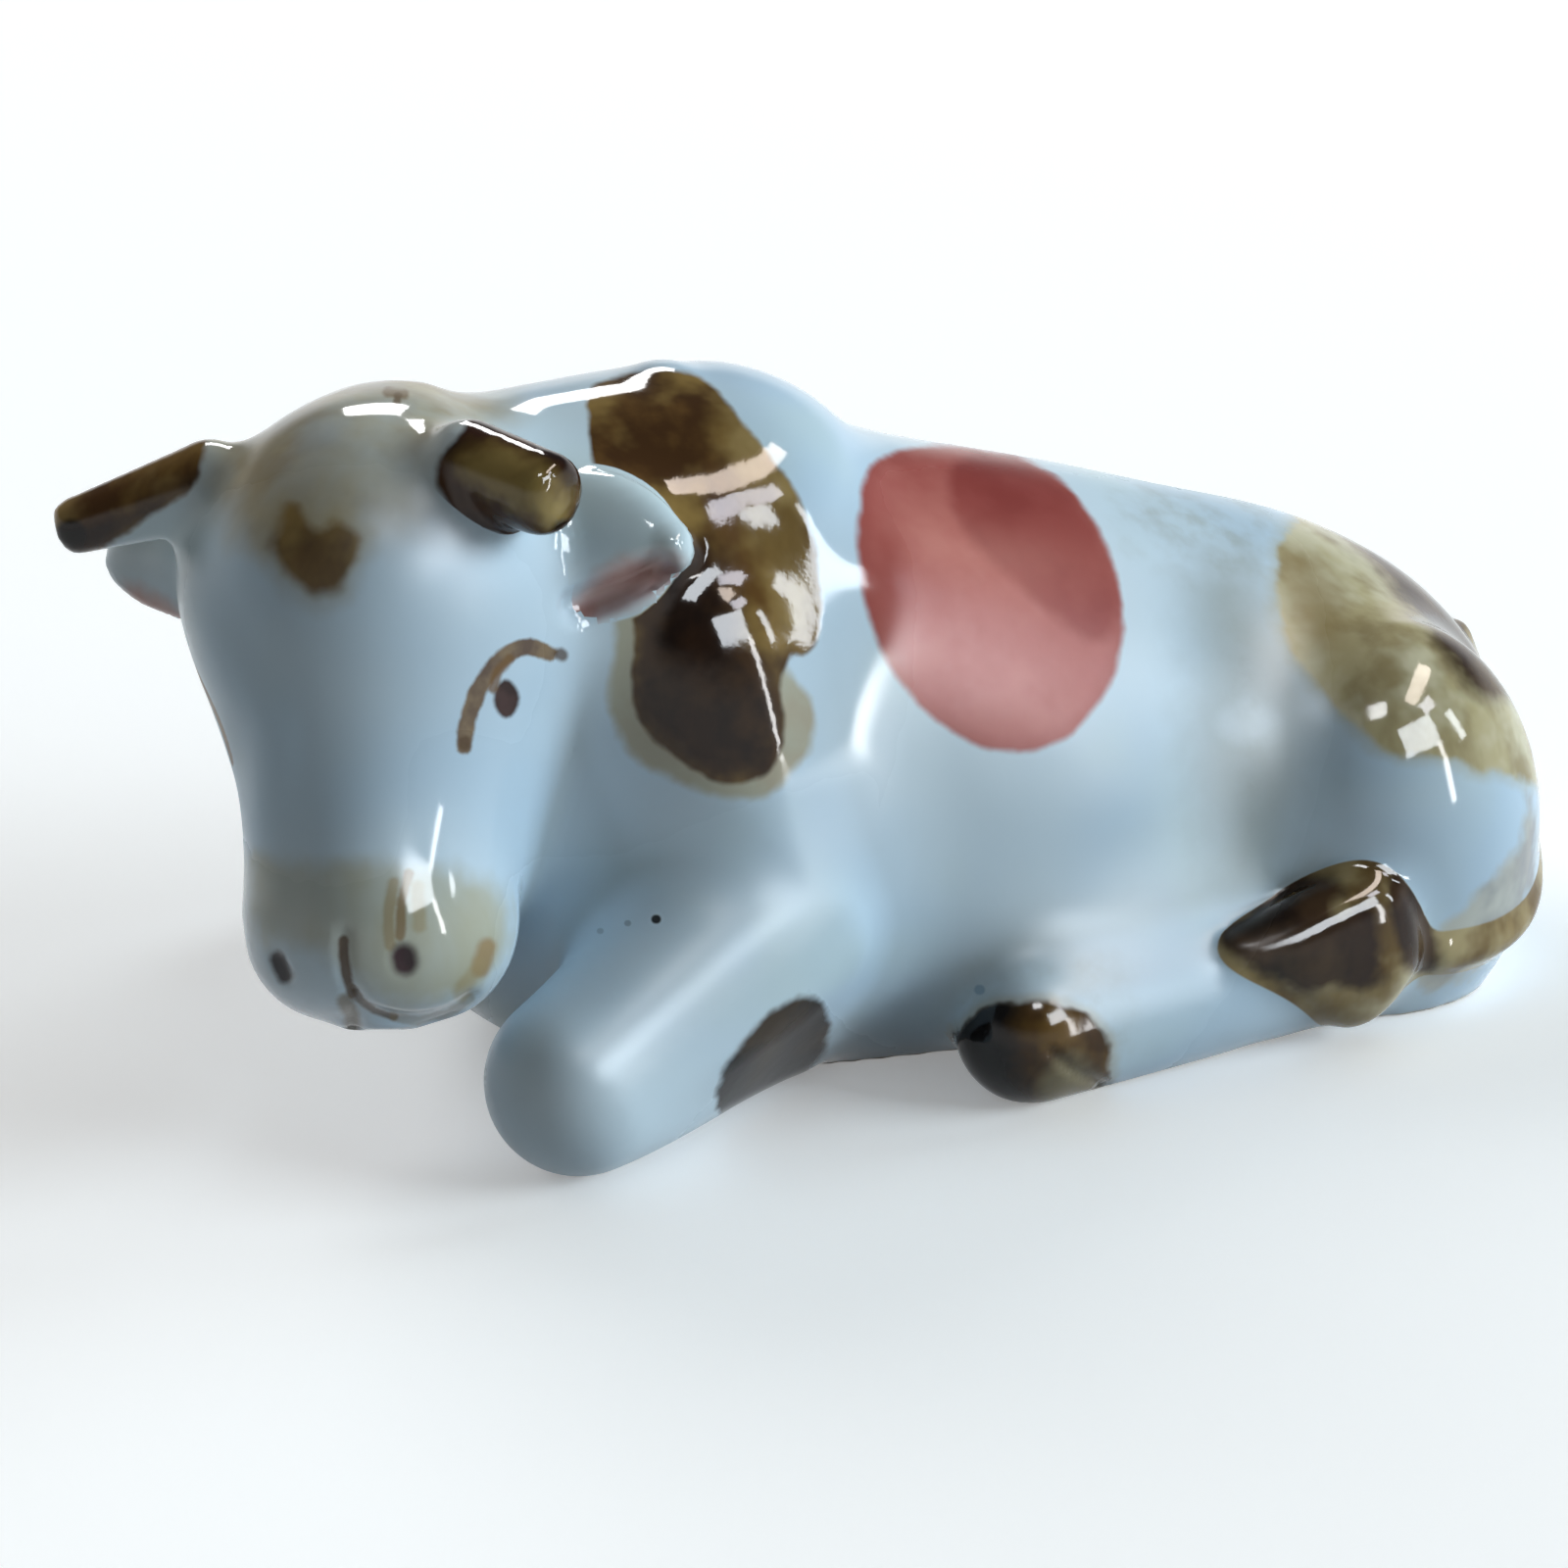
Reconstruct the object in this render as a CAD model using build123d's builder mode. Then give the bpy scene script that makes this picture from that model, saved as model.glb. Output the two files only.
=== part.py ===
from build123d import *
import math
import os

# Recumbent cow figurine in glazed porcelain, made in separate pieces that are luted together before firing.
# The cow lies along X with its head towards -X and its left flank towards -Y, on the plane Z = 0.
# The origin is the middle of the torso's flat underside.

# Torso, a hollow slip casting with the neck
torso_length = 78
torso_width = 38
withers_height = 43
neck_radius = 12.4
wall = 3
vent_diameter = 5
overrun = 1

# Head, a casting luted to the neck
head_length = 38.4
head_width = 24.5
head_depth = 25
face_turn = 52  # degrees from straight ahead towards the cow's left
muzzle_fall = 63.7  # degrees below level
muzzle_lean = 8.9  # degrees from upright, towards the cow's left

# Horns and ears, rolled and pressed by hand
left_horn_length = 7.2
right_horn_length = 9.4
horn_radius = 2.65
ear_length = 12
ear_width = 8.6
ear_thickness = 5

# Forelegs
shoulder_radius = 9.3
elbow_radius = 7
knee_radius = 5.6
fore_hoof_radius = 4.4

# Hind legs
haunch_length = 23
haunch_height = 24.5
haunch_width = 20
hock_radius = 4.6
hind_hoof_radius = 4.7

# Tail, a rolled strand that ends in a pressed tuft
tail_radius = 1.9
tail_sink = 1.1  # how deep the strand's middle lies in the haunch
tuft_length = 16
tuft_width = 11
tuft_relief = 2

outline_points = 12

# Trunk stations: place along the torso, then half width, top and bottom
trunk_shares = [
    (0.000, 0.12, 0.44, 0.24),
    (0.012, 0.30, 0.54, 0.15),
    (0.045, 0.50, 0.66, 0.07),
    (0.110, 0.62, 0.86, -0.02),
    (0.180, 0.74, 0.965, -0.09),
    (0.230, 0.80, 1.00, -0.12),
    (0.280, 0.85, 0.975, -0.13),
    (0.330, 0.89, 0.93, -0.14),
    (0.400, 0.94, 0.87, -0.14),
    (0.500, 0.97, 0.815, -0.14),
    (0.600, 0.93, 0.765, -0.14),
    (0.690, 0.86, 0.715, -0.13),
    (0.780, 0.84, 0.665, -0.11),
    (0.870, 0.77, 0.59, -0.07),
    (0.930, 0.63, 0.51, 0.00),
    (0.980, 0.38, 0.40, 0.09),
    (1.000, 0.14, 0.32, 0.17),
]
trunk_taper_share = 0.12
least_cavity_share = 1.5
neck_taper_share = 0.88

# Head stations: place along the head from poll to chin, then half width, front and back
head_shares = [
    (0.00, 0.16, 0.02, -0.10),
    (0.02, 0.32, 0.12, -0.22),
    (0.06, 0.50, 0.25, -0.36),
    (0.13, 0.74, 0.38, -0.46),
    (0.22, 0.92, 0.45, -0.52),
    (0.33, 0.98, 0.48, -0.54),
    (0.43, 0.93, 0.46, -0.54),
    (0.53, 0.82, 0.41, -0.49),
    (0.64, 0.70, 0.36, -0.40),
    (0.76, 0.64, 0.34, -0.33),
    (0.85, 0.65, 0.34, -0.30),
    (0.92, 0.58, 0.31, -0.26),
    (0.97, 0.42, 0.22, -0.18),
    (1.00, 0.16, 0.10, -0.04),
]

# Places on the torso, as shares of its length, half width and height
poll_share = (-0.487, 0.07, 1.005)
neck_root_share = (-0.24, 0, 0.70)
vent_share = (0.15, 0, 0)
shoulder_share = (-0.285, 0.34, 0.62)
elbow_share = (-0.25, 0.72, 0.28)
knee_share = (-0.432, 1.00, 0)
fore_hoof_share = (-0.235, 0.62, 0)
haunch_share = (0.300, 0.64, 0)
hock_share = (0.322, 0.86, 0)
hind_hoof_share = (-0.06, 1.05, 0)
tail_head_share = (0.465, 0, 0.40)
tail_drop_share = (0.484, -0.10, 0.27)
tail_bend_share = (0.462, -0.38, 0.21)

# Places on the head, as shares of its half width, half depth and length
neck_top_share = (0, -0.30, 0.30)
horn_root_share = (0.66, 0.52, 0.175)
horn_aim_shares = {"left": (1.44, 0.70, 0.28), "right": (1.44, 0.70, 0.245)}
ear_root_shares = {"left": (0.55, -0.05, 0.25), "right": (0.55, -0.05, 0.22)}
ear_aim_shares = {"left": (1.50, -0.05, 0.285), "right": (1.50, -0.05, 0.25)}

# The radius of each horn's end, the share of it that is rounded off, and how high the hind hoof's middle lies
horn_end_shares = {"left": 0.88, "right": 0.57}
horn_round_share = 0.6
hoof_lift_share = 0.9

# Ear stations: place along the ear, then thickness and width
ear_leaf_shares = [
    (0.00, 0.90, 0.75),
    (0.25, 1.00, 0.95),
    (0.50, 0.98, 1.00),
    (0.75, 0.80, 0.80),
    (0.92, 0.55, 0.46),
    (1.00, 0.22, 0.18),
]

# Haunch stations along its length, and the height of its middle
haunch_round_shares = (0.005, 0.03, 0.09, 0.2, 0.35, 0.5, 0.65, 0.8, 0.91, 0.97, 0.995)
haunch_middle_share = 0.40

# Turns of the tail round the haunch: degrees from straight behind, then share of the haunch's height
tail_turn_shares = [(5, 0.36), (35, 0.25), (65, 0.21), (90, 0.22)]
tuft_start_share = (92, 0.22)
tuft_way_share = (-1, -0.06, 0.17)

# Tuft stations: place along the tuft from the strand to its tip, then width and relief
tuft_shares = [
    (0.00, 0.30, 0.40),
    (0.18, 0.72, 0.85),
    (0.34, 1.00, 1.00),
    (0.50, 0.86, 0.95),
    (0.68, 0.60, 0.85),
    (0.85, 0.34, 0.65),
    (0.96, 0.18, 0.40),
    (1.00, 0.08, 0.15),
]


def egg(plane, half_width, top, bottom, taper=0):
    """A closed outline from bottom to top along the plane's Y, narrower above its middle by the taper."""
    middle, half_height = (top + bottom) / 2, (top - bottom) / 2
    angles = [math.tau * i / outline_points for i in range(outline_points)]
    with BuildSketch(plane) as outline:
        with BuildLine():
            Spline(
                *[
                    (
                        half_width * math.cos(angle) * (1 - taper * math.sin(angle)),
                        middle + half_height * math.sin(angle),
                    )
                    for angle in angles
                ],
                periodic=True,
            )
        make_face()
    return outline.sketch


def limb(start, end, start_radius, end_radius):
    """A limb with round ends, revolved about the line from start to end."""
    way, length = (end - start).normalized(), (end - start).length
    across = Vector(way.Y, -way.X, 0).normalized()
    with BuildPart() as form:
        with BuildSketch(Plane(origin=start, x_dir=across, z_dir=across.cross(way))):
            with BuildLine():
                CenterArc((0, 0), start_radius, -90, 90)
                Spline(
                    (start_radius, 0),
                    ((start_radius + end_radius) / 2, length / 2),
                    (end_radius, length),
                    tangents=[(0, 1), (0, 1)],
                )
                CenterArc((0, length), end_radius, 0, 90)
                Line((0, length + end_radius), (0, -start_radius))
            make_face()
        revolve(axis=Axis(start, way))
    return form.part


def on_torso(share, side=1, height=0):
    """A point given as shares of the torso's sizes, on the side given, at a height above its share."""
    return Vector(
        share[0] * torso_length,
        side * share[1] * torso_width / 2,
        share[2] * withers_height + height,
    )


def trunk_form(inset):
    """The trunk's outside, or its cavity when inset is the wall."""
    length = torso_length - 2 * inset
    with BuildPart() as form:
        loft(
            sections=[
                egg(
                    Plane.YZ.offset((along - 0.5) * length),
                    width * torso_width / 2 - inset,
                    top * withers_height - inset,
                    bottom * withers_height + inset,
                    trunk_taper_share,
                )
                for along, width, top, bottom in trunk_shares
                if width * torso_width / 2 > least_cavity_share * inset
            ]
        )
        split(bisect_by=Plane.XY.offset(inset), keep=Keep.TOP)
    return form.part


# Head frame at the poll: X to the left ear, Y out of the face, Z down the muzzle
down_face, to_left_ear = Vector(-1, 0, 0), Vector(0, -1, 0)
for axis, angle in ((Axis.Y, -muzzle_fall), (Axis.X, -muzzle_lean), (Axis.Z, face_turn)):
    down_face, to_left_ear = down_face.rotate(axis, angle), to_left_ear.rotate(axis, angle)
head_frame = Plane(origin=on_torso(poll_share), x_dir=to_left_ear, z_dir=down_face)


def on_head(share, side=1):
    """A point given as shares of the head's sizes, where side is 1 towards the cow's left ear."""
    return head_frame.from_local_coords(
        Vector(side * share[0] * head_width / 2, share[1] * head_depth / 2, share[2] * head_length)
    )


with BuildPart() as torso_body:
    add(trunk_form(0))
    add(limb(on_torso(neck_root_share), on_head(neck_top_share), neck_radius, neck_taper_share * neck_radius))

with BuildPart() as torso:
    add(torso_body.part)
    add(trunk_form(wall), mode=Mode.SUBTRACT)
    with Locations(on_torso(vent_share)):
        Cylinder(vent_diameter / 2, 2 * (wall + overrun), mode=Mode.SUBTRACT)

with BuildPart() as head_body:
    loft(
        sections=[
            egg(
                head_frame.offset(along * head_length),
                width * head_width / 2,
                front * head_depth,
                back * head_depth,
            )
            for along, width, front, back in head_shares
        ]
    )

with BuildPart() as head:
    add(head_body.part)
    add(torso_body.part, mode=Mode.SUBTRACT)


def horn_form(name, side, length):
    """A blunt stub from the corner of the forehead, drooping outwards."""
    root, end_radius = on_head(horn_root_share, side), horn_end_shares[name] * horn_radius
    way = (on_head(horn_aim_shares[name], side) - root).normalized()
    with BuildPart() as form:
        with BuildSketch(Plane(origin=root, z_dir=way)):
            Circle(horn_radius)
        extrude(amount=length, taper=math.degrees(math.atan2(horn_radius - end_radius, length)))
        fillet(form.edges().sort_by(Axis(root, way))[-1], horn_round_share * end_radius)
        with Locations(root):
            Sphere(horn_radius)
    return form.part


def ear_form(name, side):
    """A leaf that stands out behind the horn."""
    root = on_head(ear_root_shares[name], side)
    way = (on_head(ear_aim_shares[name], side) - root).normalized()
    with BuildPart() as form:
        loft(
            sections=[
                egg(
                    Plane(origin=root + way * along * ear_length, x_dir=head_frame.y_dir, z_dir=way),
                    thickness * ear_thickness / 2,
                    width * ear_width / 2,
                    -width * ear_width / 2,
                )
                for along, thickness, width in ear_leaf_shares
            ]
        )
    return form.part


def foreleg_form(side):
    """Upper arm, forearm, and the shank folded back under the chest."""
    shoulder, elbow = on_torso(shoulder_share, side), on_torso(elbow_share, side)
    knee = on_torso(knee_share, side, knee_radius)
    hoof = on_torso(fore_hoof_share, side, fore_hoof_radius)
    with BuildPart() as form:
        add(limb(shoulder, elbow, shoulder_radius, elbow_radius))
        add(limb(elbow, knee, elbow_radius, knee_radius))
        add(limb(knee, hoof, knee_radius, fore_hoof_radius))
        split(bisect_by=Plane.XY, keep=Keep.TOP)
    return form.part


def haunch_middle(side):
    """The middle of the haunch."""
    return on_torso(haunch_share, side, haunch_middle_share * haunch_height)


def hind_leg_form(side):
    """Haunch, and the shank that lies forward along the table to the hoof."""
    hock = on_torso(hock_share, side, hock_radius)
    hoof = on_torso(hind_hoof_share, side, hoof_lift_share * hind_hoof_radius)
    middle = Plane(origin=haunch_middle(side), x_dir=(0, 1, 0), z_dir=(1, 0, 0))
    with BuildPart() as form:
        loft(
            sections=[
                egg(
                    middle.offset((along - 0.5) * haunch_length),
                    math.sqrt(along * (1 - along)) * haunch_width,
                    math.sqrt(along * (1 - along)) * 2 * (1 - haunch_middle_share) * haunch_height,
                    -math.sqrt(along * (1 - along)) * 2 * (1 - haunch_middle_share) * haunch_height,
                )
                for along in haunch_round_shares
            ]
        )
        add(limb(hock, hoof, hock_radius, hind_hoof_radius))
        split(bisect_by=Plane.XY, keep=Keep.TOP)
    return form.part


def under_haunch(turn):
    """A point under the left haunch's skin, at degrees from straight behind and a share of its height."""
    middle, level = haunch_middle(-1), turn[1] * haunch_height
    rise = (level - middle.Z) / ((1 - haunch_middle_share) * haunch_height)
    reach = math.sqrt(1 - rise * rise)
    return Vector(
        middle.X + (reach * haunch_length / 2 - tail_sink) * math.cos(math.radians(turn[0])),
        middle.Y - (reach * haunch_width / 2 - tail_sink) * math.sin(math.radians(turn[0])),
        level,
    )


with BuildPart() as tail_form:
    with BuildLine() as strand:
        Spline(
            on_torso(tail_head_share),
            on_torso(tail_drop_share),
            on_torso(tail_bend_share),
            *[under_haunch(turn) for turn in tail_turn_shares],
        )
    with BuildSketch(Plane(origin=strand.line @ 0, z_dir=strand.line % 0)):
        Circle(tail_radius)
    sweep(path=strand.line)
    with Locations(strand.line @ 0, strand.line @ 1):
        Sphere(tail_radius)

tuft_start, tuft_way = under_haunch(tuft_start_share), Vector(*tuft_way_share).normalized()
with BuildPart() as tuft_form:
    loft(
        sections=[
            egg(
                Plane(
                    origin=tuft_start + tuft_way * along * tuft_length,
                    x_dir=(0, -1, 0),
                    z_dir=tuft_way,
                ),
                relief * (tail_sink + tuft_relief),
                width * tuft_width / 2,
                -width * tuft_width / 2,
            )
            for along, width, relief in tuft_shares
        ]
    )

# Each piece is cut by what carries it, so that the luted faces meet exactly
pieces = {"torso": torso.part, "head": head.part}
for name, side, horn_length in (("left", -1, left_horn_length), ("right", 1, right_horn_length)):
    with BuildPart() as ear:
        add(ear_form(name, -side))
        add(head_body.part, mode=Mode.SUBTRACT)
        add(torso_body.part, mode=Mode.SUBTRACT)
    pieces[f"{name}_ear"] = ear.part
    with BuildPart() as horn:
        add(horn_form(name, -side, horn_length))
        add(head_body.part, mode=Mode.SUBTRACT)
        add(ear.part, mode=Mode.SUBTRACT)
    pieces[f"{name}_horn"] = horn.part
    with BuildPart() as foreleg:
        add(foreleg_form(side))
        add(torso_body.part, mode=Mode.SUBTRACT)
        add(ear.part, mode=Mode.SUBTRACT)
    pieces[f"{name}_foreleg"] = foreleg.part
    with BuildPart() as hind_leg:
        add(hind_leg_form(side))
        add(torso_body.part, mode=Mode.SUBTRACT)
    pieces[f"{name}_hind_leg"] = hind_leg.part

with BuildPart() as tail:
    add(tail_form.part)
    add(tuft_form.part)
    split(bisect_by=Plane.XY, keep=Keep.TOP)
    add(pieces["left_hind_leg"], mode=Mode.SUBTRACT)
    add(torso_body.part, mode=Mode.SUBTRACT)
pieces["tail"] = tail.part

os.makedirs("parts", exist_ok=True)
for name, piece in pieces.items():
    piece.label = name
    export_step(piece, f"parts/{name}.step")
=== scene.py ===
import math

import bmesh
import bpy
import numpy as np
from mathutils import Matrix, Vector
from mathutils.bvhtree import BVHTree


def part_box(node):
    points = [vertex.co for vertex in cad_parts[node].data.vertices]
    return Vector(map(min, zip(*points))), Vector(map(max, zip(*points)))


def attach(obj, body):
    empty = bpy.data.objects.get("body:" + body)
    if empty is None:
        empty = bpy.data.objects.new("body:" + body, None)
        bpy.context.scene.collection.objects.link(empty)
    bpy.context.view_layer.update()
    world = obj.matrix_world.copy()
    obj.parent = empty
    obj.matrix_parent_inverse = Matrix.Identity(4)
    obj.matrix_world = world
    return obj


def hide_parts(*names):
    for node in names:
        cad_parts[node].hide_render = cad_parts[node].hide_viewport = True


# A lying cow in glazed porcelain. X runs from the head to the rump, -Y is the cow's left, Z is up.
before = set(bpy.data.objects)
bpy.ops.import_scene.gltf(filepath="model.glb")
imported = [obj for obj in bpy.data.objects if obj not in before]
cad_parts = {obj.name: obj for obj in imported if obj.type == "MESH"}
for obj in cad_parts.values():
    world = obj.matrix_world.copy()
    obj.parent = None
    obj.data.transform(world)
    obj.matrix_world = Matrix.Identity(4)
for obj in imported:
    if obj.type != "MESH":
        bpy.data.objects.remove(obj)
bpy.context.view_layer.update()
mm = 0.001

photo = {
    "azimuth": math.radians(-22),
    "elevation": math.radians(22),
    "target": Vector((-13, 0, 14.2)) * mm,
    "distance": 230 * mm,
    "lens": 81.77,
    "sensor": 36,
    "pixels": 1600,
    "clipStart": 0.01,
}


def direction(turn, rise):
    # Turned from the cow's left side towards its rump, and raised
    return Vector((math.sin(turn) * math.cos(rise), -math.cos(turn) * math.cos(rise), math.sin(rise)))


photoBack = direction(photo["azimuth"], photo["elevation"])
photoRight = Vector((math.cos(photo["azimuth"]), math.sin(photo["azimuth"]), 0))
photoUp = photoBack.cross(photoRight)
focal = photo["pixels"] * photo["lens"] / photo["sensor"]


def link(name, data):
    item = bpy.data.objects.new(name, data)
    bpy.context.scene.collection.objects.link(item)
    return item


def addCamera():
    data = bpy.data.cameras.new("camera")
    data.lens = photo["lens"]
    data.sensor_width = photo["sensor"]
    data.clip_start = photo["clipStart"]
    camera = link("camera", data)
    camera.location = photo["target"] + photoBack * photo["distance"]
    camera.rotation_mode = "QUATERNION"
    camera.rotation_quaternion = (-photoBack).to_track_quat("-Z", "Y")
    bpy.context.scene.camera = camera


addCamera()
print("camera placed")

skin = {
    "voxel": 0.4 * mm,
    "weld": 0.001 * mm,
    "fillPasses": 600,  # slip and glaze round off the inside corners
    "normalsEvery": 8,
    "sideStep": 0.5,
    "evenPasses": 16,
    "evenStep": 0.5,
    "returnStep": -0.53,
    "detailReach": 2.5 * mm,  # around the fine pieces the corners stay sharper
    "soleBand": 0.3 * mm,
    "labelPasses": 12,
    "hiddenDepth": 0.5 * mm,
    "fillShares": {
        "torso": 1.0,
        "foreleg": 1.0,
        "hind_leg": 1.0,
        "head": 0.4,
        "horn": 0.04,
        "ear": 0.05,
        "tail": 0.02,
    },
}

vent = {
    "centre": Vector((11.7, 0, 0)) * mm,
    "radius": 2.5 * mm,
    "depth": 8 * mm,
    "wallReach": 1.1,  # in radii, where its wall is looked for
    "wallTilt": 0.5,
    "clear": 2,  # in radii and depths, where no corner is filled
    "cavityMiddle": Vector((0, 0, 15)) * mm,
}


def kindOf(node):
    return node.removeprefix("left_").removeprefix("right_")


def spread(seeds, allowed=lambda face: True):
    # The faces that hang together with the seeds
    found = set(seeds)
    waiting = list(seeds)
    while waiting:
        for edge in waiting.pop().edges:
            for face in edge.link_faces:
                if face not in found and allowed(face):
                    found.add(face)
                    waiting.append(face)
    return found


def openEdges(bm):
    return [edge for edge in bm.edges if edge.is_boundary]


def extrudeRim(bm):
    made = bmesh.ops.extrude_edge_only(bm, edges=openEdges(bm))["geom"]
    return [item for item in made if isinstance(item, bmesh.types.BMVert)]


def dropCavity(bm):
    # The casting's inside doesn't show, so its walls go and the vent ends in a blind hole
    def apartFromVent(face):
        away = (face.calc_center_median() - vent["centre"]).xy.length
        return away >= vent["wallReach"] * vent["radius"] or abs(face.normal.z) >= vent["wallTilt"]

    seed = min(bm.faces, key=lambda face: (face.calc_center_median() - vent["cavityMiddle"]).length)
    cavity = spread([seed], apartFromVent)
    bmesh.ops.delete(bm, geom=[face for face in bm.faces if face in cavity], context="FACES")
    bmesh.ops.translate(bm, verts=extrudeRim(bm), vec=(0, 0, vent["depth"]))
    bmesh.ops.holes_fill(bm, edges=openEdges(bm))


def castingMesh(name):
    bm = bmesh.new()
    bm.from_mesh(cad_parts[name].data)
    bmesh.ops.remove_doubles(bm, verts=bm.verts, dist=skin["weld"])
    if name == "torso":
        dropCavity(bm)
    return bm


def fuseCastings():
    # Voxels join the castings where they are luted, as one closed skin of even quads
    whole = bmesh.new()
    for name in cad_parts:
        part = castingMesh(name)
        mesh = bpy.data.meshes.new(name + "_part")
        part.to_mesh(mesh)
        part.free()
        whole.from_mesh(mesh)
    mesh = bpy.data.meshes.new("castings")
    whole.to_mesh(mesh)
    whole.free()
    rough = link("castings", mesh)
    voxels = rough.modifiers.new("voxels", "REMESH")
    voxels.mode = "VOXEL"
    voxels.voxel_size = skin["voxel"]
    fused = bpy.data.meshes.new_from_object(rough.evaluated_get(bpy.context.evaluated_depsgraph_get()))
    bpy.data.objects.remove(rough)
    return fused


class Surface:
    def __init__(self, mesh):
        self.mesh = mesh
        flat = np.empty(len(mesh.vertices) * 3, np.float32)
        mesh.vertices.foreach_get("co", flat)
        self.points = flat.reshape(-1, 3).astype(float)
        edges = np.empty(len(mesh.edges) * 2, np.int32)
        mesh.edges.foreach_get("vertices", edges)
        edges = edges.reshape(-1, 2)
        self.starts = np.concatenate((edges[:, 0], edges[:, 1]))
        self.ends = np.concatenate((edges[:, 1], edges[:, 0]))
        quads = np.empty(len(mesh.loops), np.int32)
        mesh.loops.foreach_get("vertex_index", quads)
        self.quads = quads.reshape(-1, 4)
        self.degree = np.bincount(self.ends, minlength=len(self.points))[:, None]
        self.fields = {}

    def neighbourMean(self, values):
        sums = [np.bincount(self.ends, column[self.starts], len(column)) for column in values.T]
        return np.stack(sums, axis=1) / self.degree

    def normals(self):
        a, b, c, d = (self.points[self.quads[:, corner]] for corner in range(4))
        facing = np.cross(c - a, d - b)
        total = np.zeros_like(self.points)
        for corner in range(4):
            for axis in range(3):
                total[:, axis] += np.bincount(self.quads[:, corner], facing[:, axis], len(total))
        return total / np.maximum(np.linalg.norm(total, axis=1), 1e-12)[:, None]

    def write(self):
        self.mesh.vertices.foreach_set("co", self.points.astype(np.float32).ravel())
        self.mesh.update()

    def store(self, name, kind, slot, values):
        stored = self.mesh.attributes.new(name, kind, "POINT")
        stored.data.foreach_set(slot, values.astype(np.float32).ravel())


def distanceTo(node, surface, reach):
    # How far each point of the skin lies from a node, or the reach where that is more
    bm = bmesh.new()
    bm.from_mesh(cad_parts[node].data)
    tree = BVHTree.FromBMesh(bm)
    bm.free()
    low, high = (np.array(corner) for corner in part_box(node))
    near = np.all((surface.points > low - reach) & (surface.points < high + reach), axis=1)
    away = np.full(len(surface.points), reach)
    for index in np.nonzero(near)[0]:
        hit = tree.find_nearest(Vector(surface.points[index]), reach)
        if hit[3] is not None:
            away[index] = hit[3]
    return away


def hiddenFaces(node, skinTree):
    # The faces that a casting shows to its neighbours only, which lie deeper than the skin
    bm = castingMesh(node)
    outside = [
        face
        for face in bm.faces
        if skinTree.find_nearest(face.calc_center_median(), skin["hiddenDepth"])[3] is not None
    ]
    bmesh.ops.delete(bm, geom=outside, context="FACES")
    tree = BVHTree.FromBMesh(bm)
    bm.free()
    return tree


def fillCorners(surface, share):
    # Each point moves out while its neighbours lie further out, so only hollow corners fill
    for turn in range(skin["fillPasses"]):
        if turn % skin["normalsEvery"] == 0:
            normals = surface.normals()
        drift = surface.neighbourMean(surface.points) - surface.points
        outward = (drift * normals).sum(axis=1)
        sideways = drift - outward[:, None] * normals
        step = normals * (np.clip(outward, 0, None) * share)[:, None] + skin["sideStep"] * sideways
        step[surface.sole, 2] = 0
        surface.points += step


def evenOut(surface, passes):
    # Smooths the voxel steps away and keeps the volume, by a step in and a longer step out
    for step in (skin["evenStep"], skin["returnStep"]) * passes:
        drift = surface.neighbourMean(surface.points) - surface.points
        drift[surface.sole, 2] = 0
        surface.points += step * drift
    surface.points[:, 2] = np.maximum(surface.points[:, 2], 0)


def facesBeside(quads):
    beside = [[] for _ in quads]
    sides = {}
    for index, quad in enumerate(quads.tolist()):
        for corner in range(4):
            side = frozenset((quad[corner], quad[corner - 1]))
            if side in sides:
                beside[index].append(sides[side])
                beside[sides[side]].append(index)
            else:
                sides[side] = index
    return beside


def joinIslands(surface):
    # A patch that lies apart from the rest of its casting goes to the casting round it, and a void to none
    beside = facesBeside(surface.quads)
    owner = surface.owner
    island = np.full(len(beside), -1)
    islands = []
    for seed in range(len(beside)):
        if island[seed] >= 0:
            continue
        island[seed] = len(islands)
        found = [seed]
        for index in found:
            for other in beside[index]:
                if island[other] < 0 and owner[other] == owner[seed]:
                    island[other] = island[seed]
                    found.append(other)
        islands.append(found)
    for found in sorted(islands, key=len):
        same = [other for other in islands if owner[other[0]] == owner[found[0]]]
        if found is not max(same, key=len):
            around = [
                owner[other]
                for index in found
                for other in beside[index]
                if island[other] != island[index]
            ]
            owner[found] = max(set(around), key=around.count) if around else -1


# Marks are places of the photograph, in its own pixels, and depths are real
marks = {
    "margin": 90,
    "farAway": 6 * mm,
    "facingFrom": 0.1,
    "facingOver": 0.15,
    "curveSteps": 5,
    "drawnFacing": (0, 0.2),
}

# The head is turned to the cow's left, and mirrored about the plane through its poll
headTurn = {
    "poll": Vector((-38, 1.3, 43.2)) * mm,
    "faceTurn": math.radians(52),
    "muzzleLean": math.radians(8.9),
}


def asSeen(points, view):
    # The points where the named view shows them: as they are, or mirrored from the cow's other side
    if view == "near":
        return points
    if view == "farBody":
        return points * (1, -1, 1)
    turned = Matrix.Rotation(headTurn["faceTurn"], 3, "Z")
    leant = Matrix.Rotation(-headTurn["muzzleLean"], 3, "X")
    leftWay = np.array(turned @ leant @ Vector((0, -1, 0)))
    fromPoll = points - (np.array(headTurn["poll"]) if view == "farHead" else 0)
    return points - 2 * (fromPoll @ leftWay)[:, None] * leftWay


def pixelPlaces(points):
    # Where the photograph shows each point, and how many of its pixels a metre takes there
    away = points - np.array(photo["target"])
    scale = focal / (photo["distance"] - away @ np.array(photoBack))
    x = photo["pixels"] / 2 + scale * (away @ np.array(photoRight))
    y = photo["pixels"] / 2 - scale * (away @ np.array(photoUp))
    return np.stack((x, y), axis=1), scale


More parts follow.
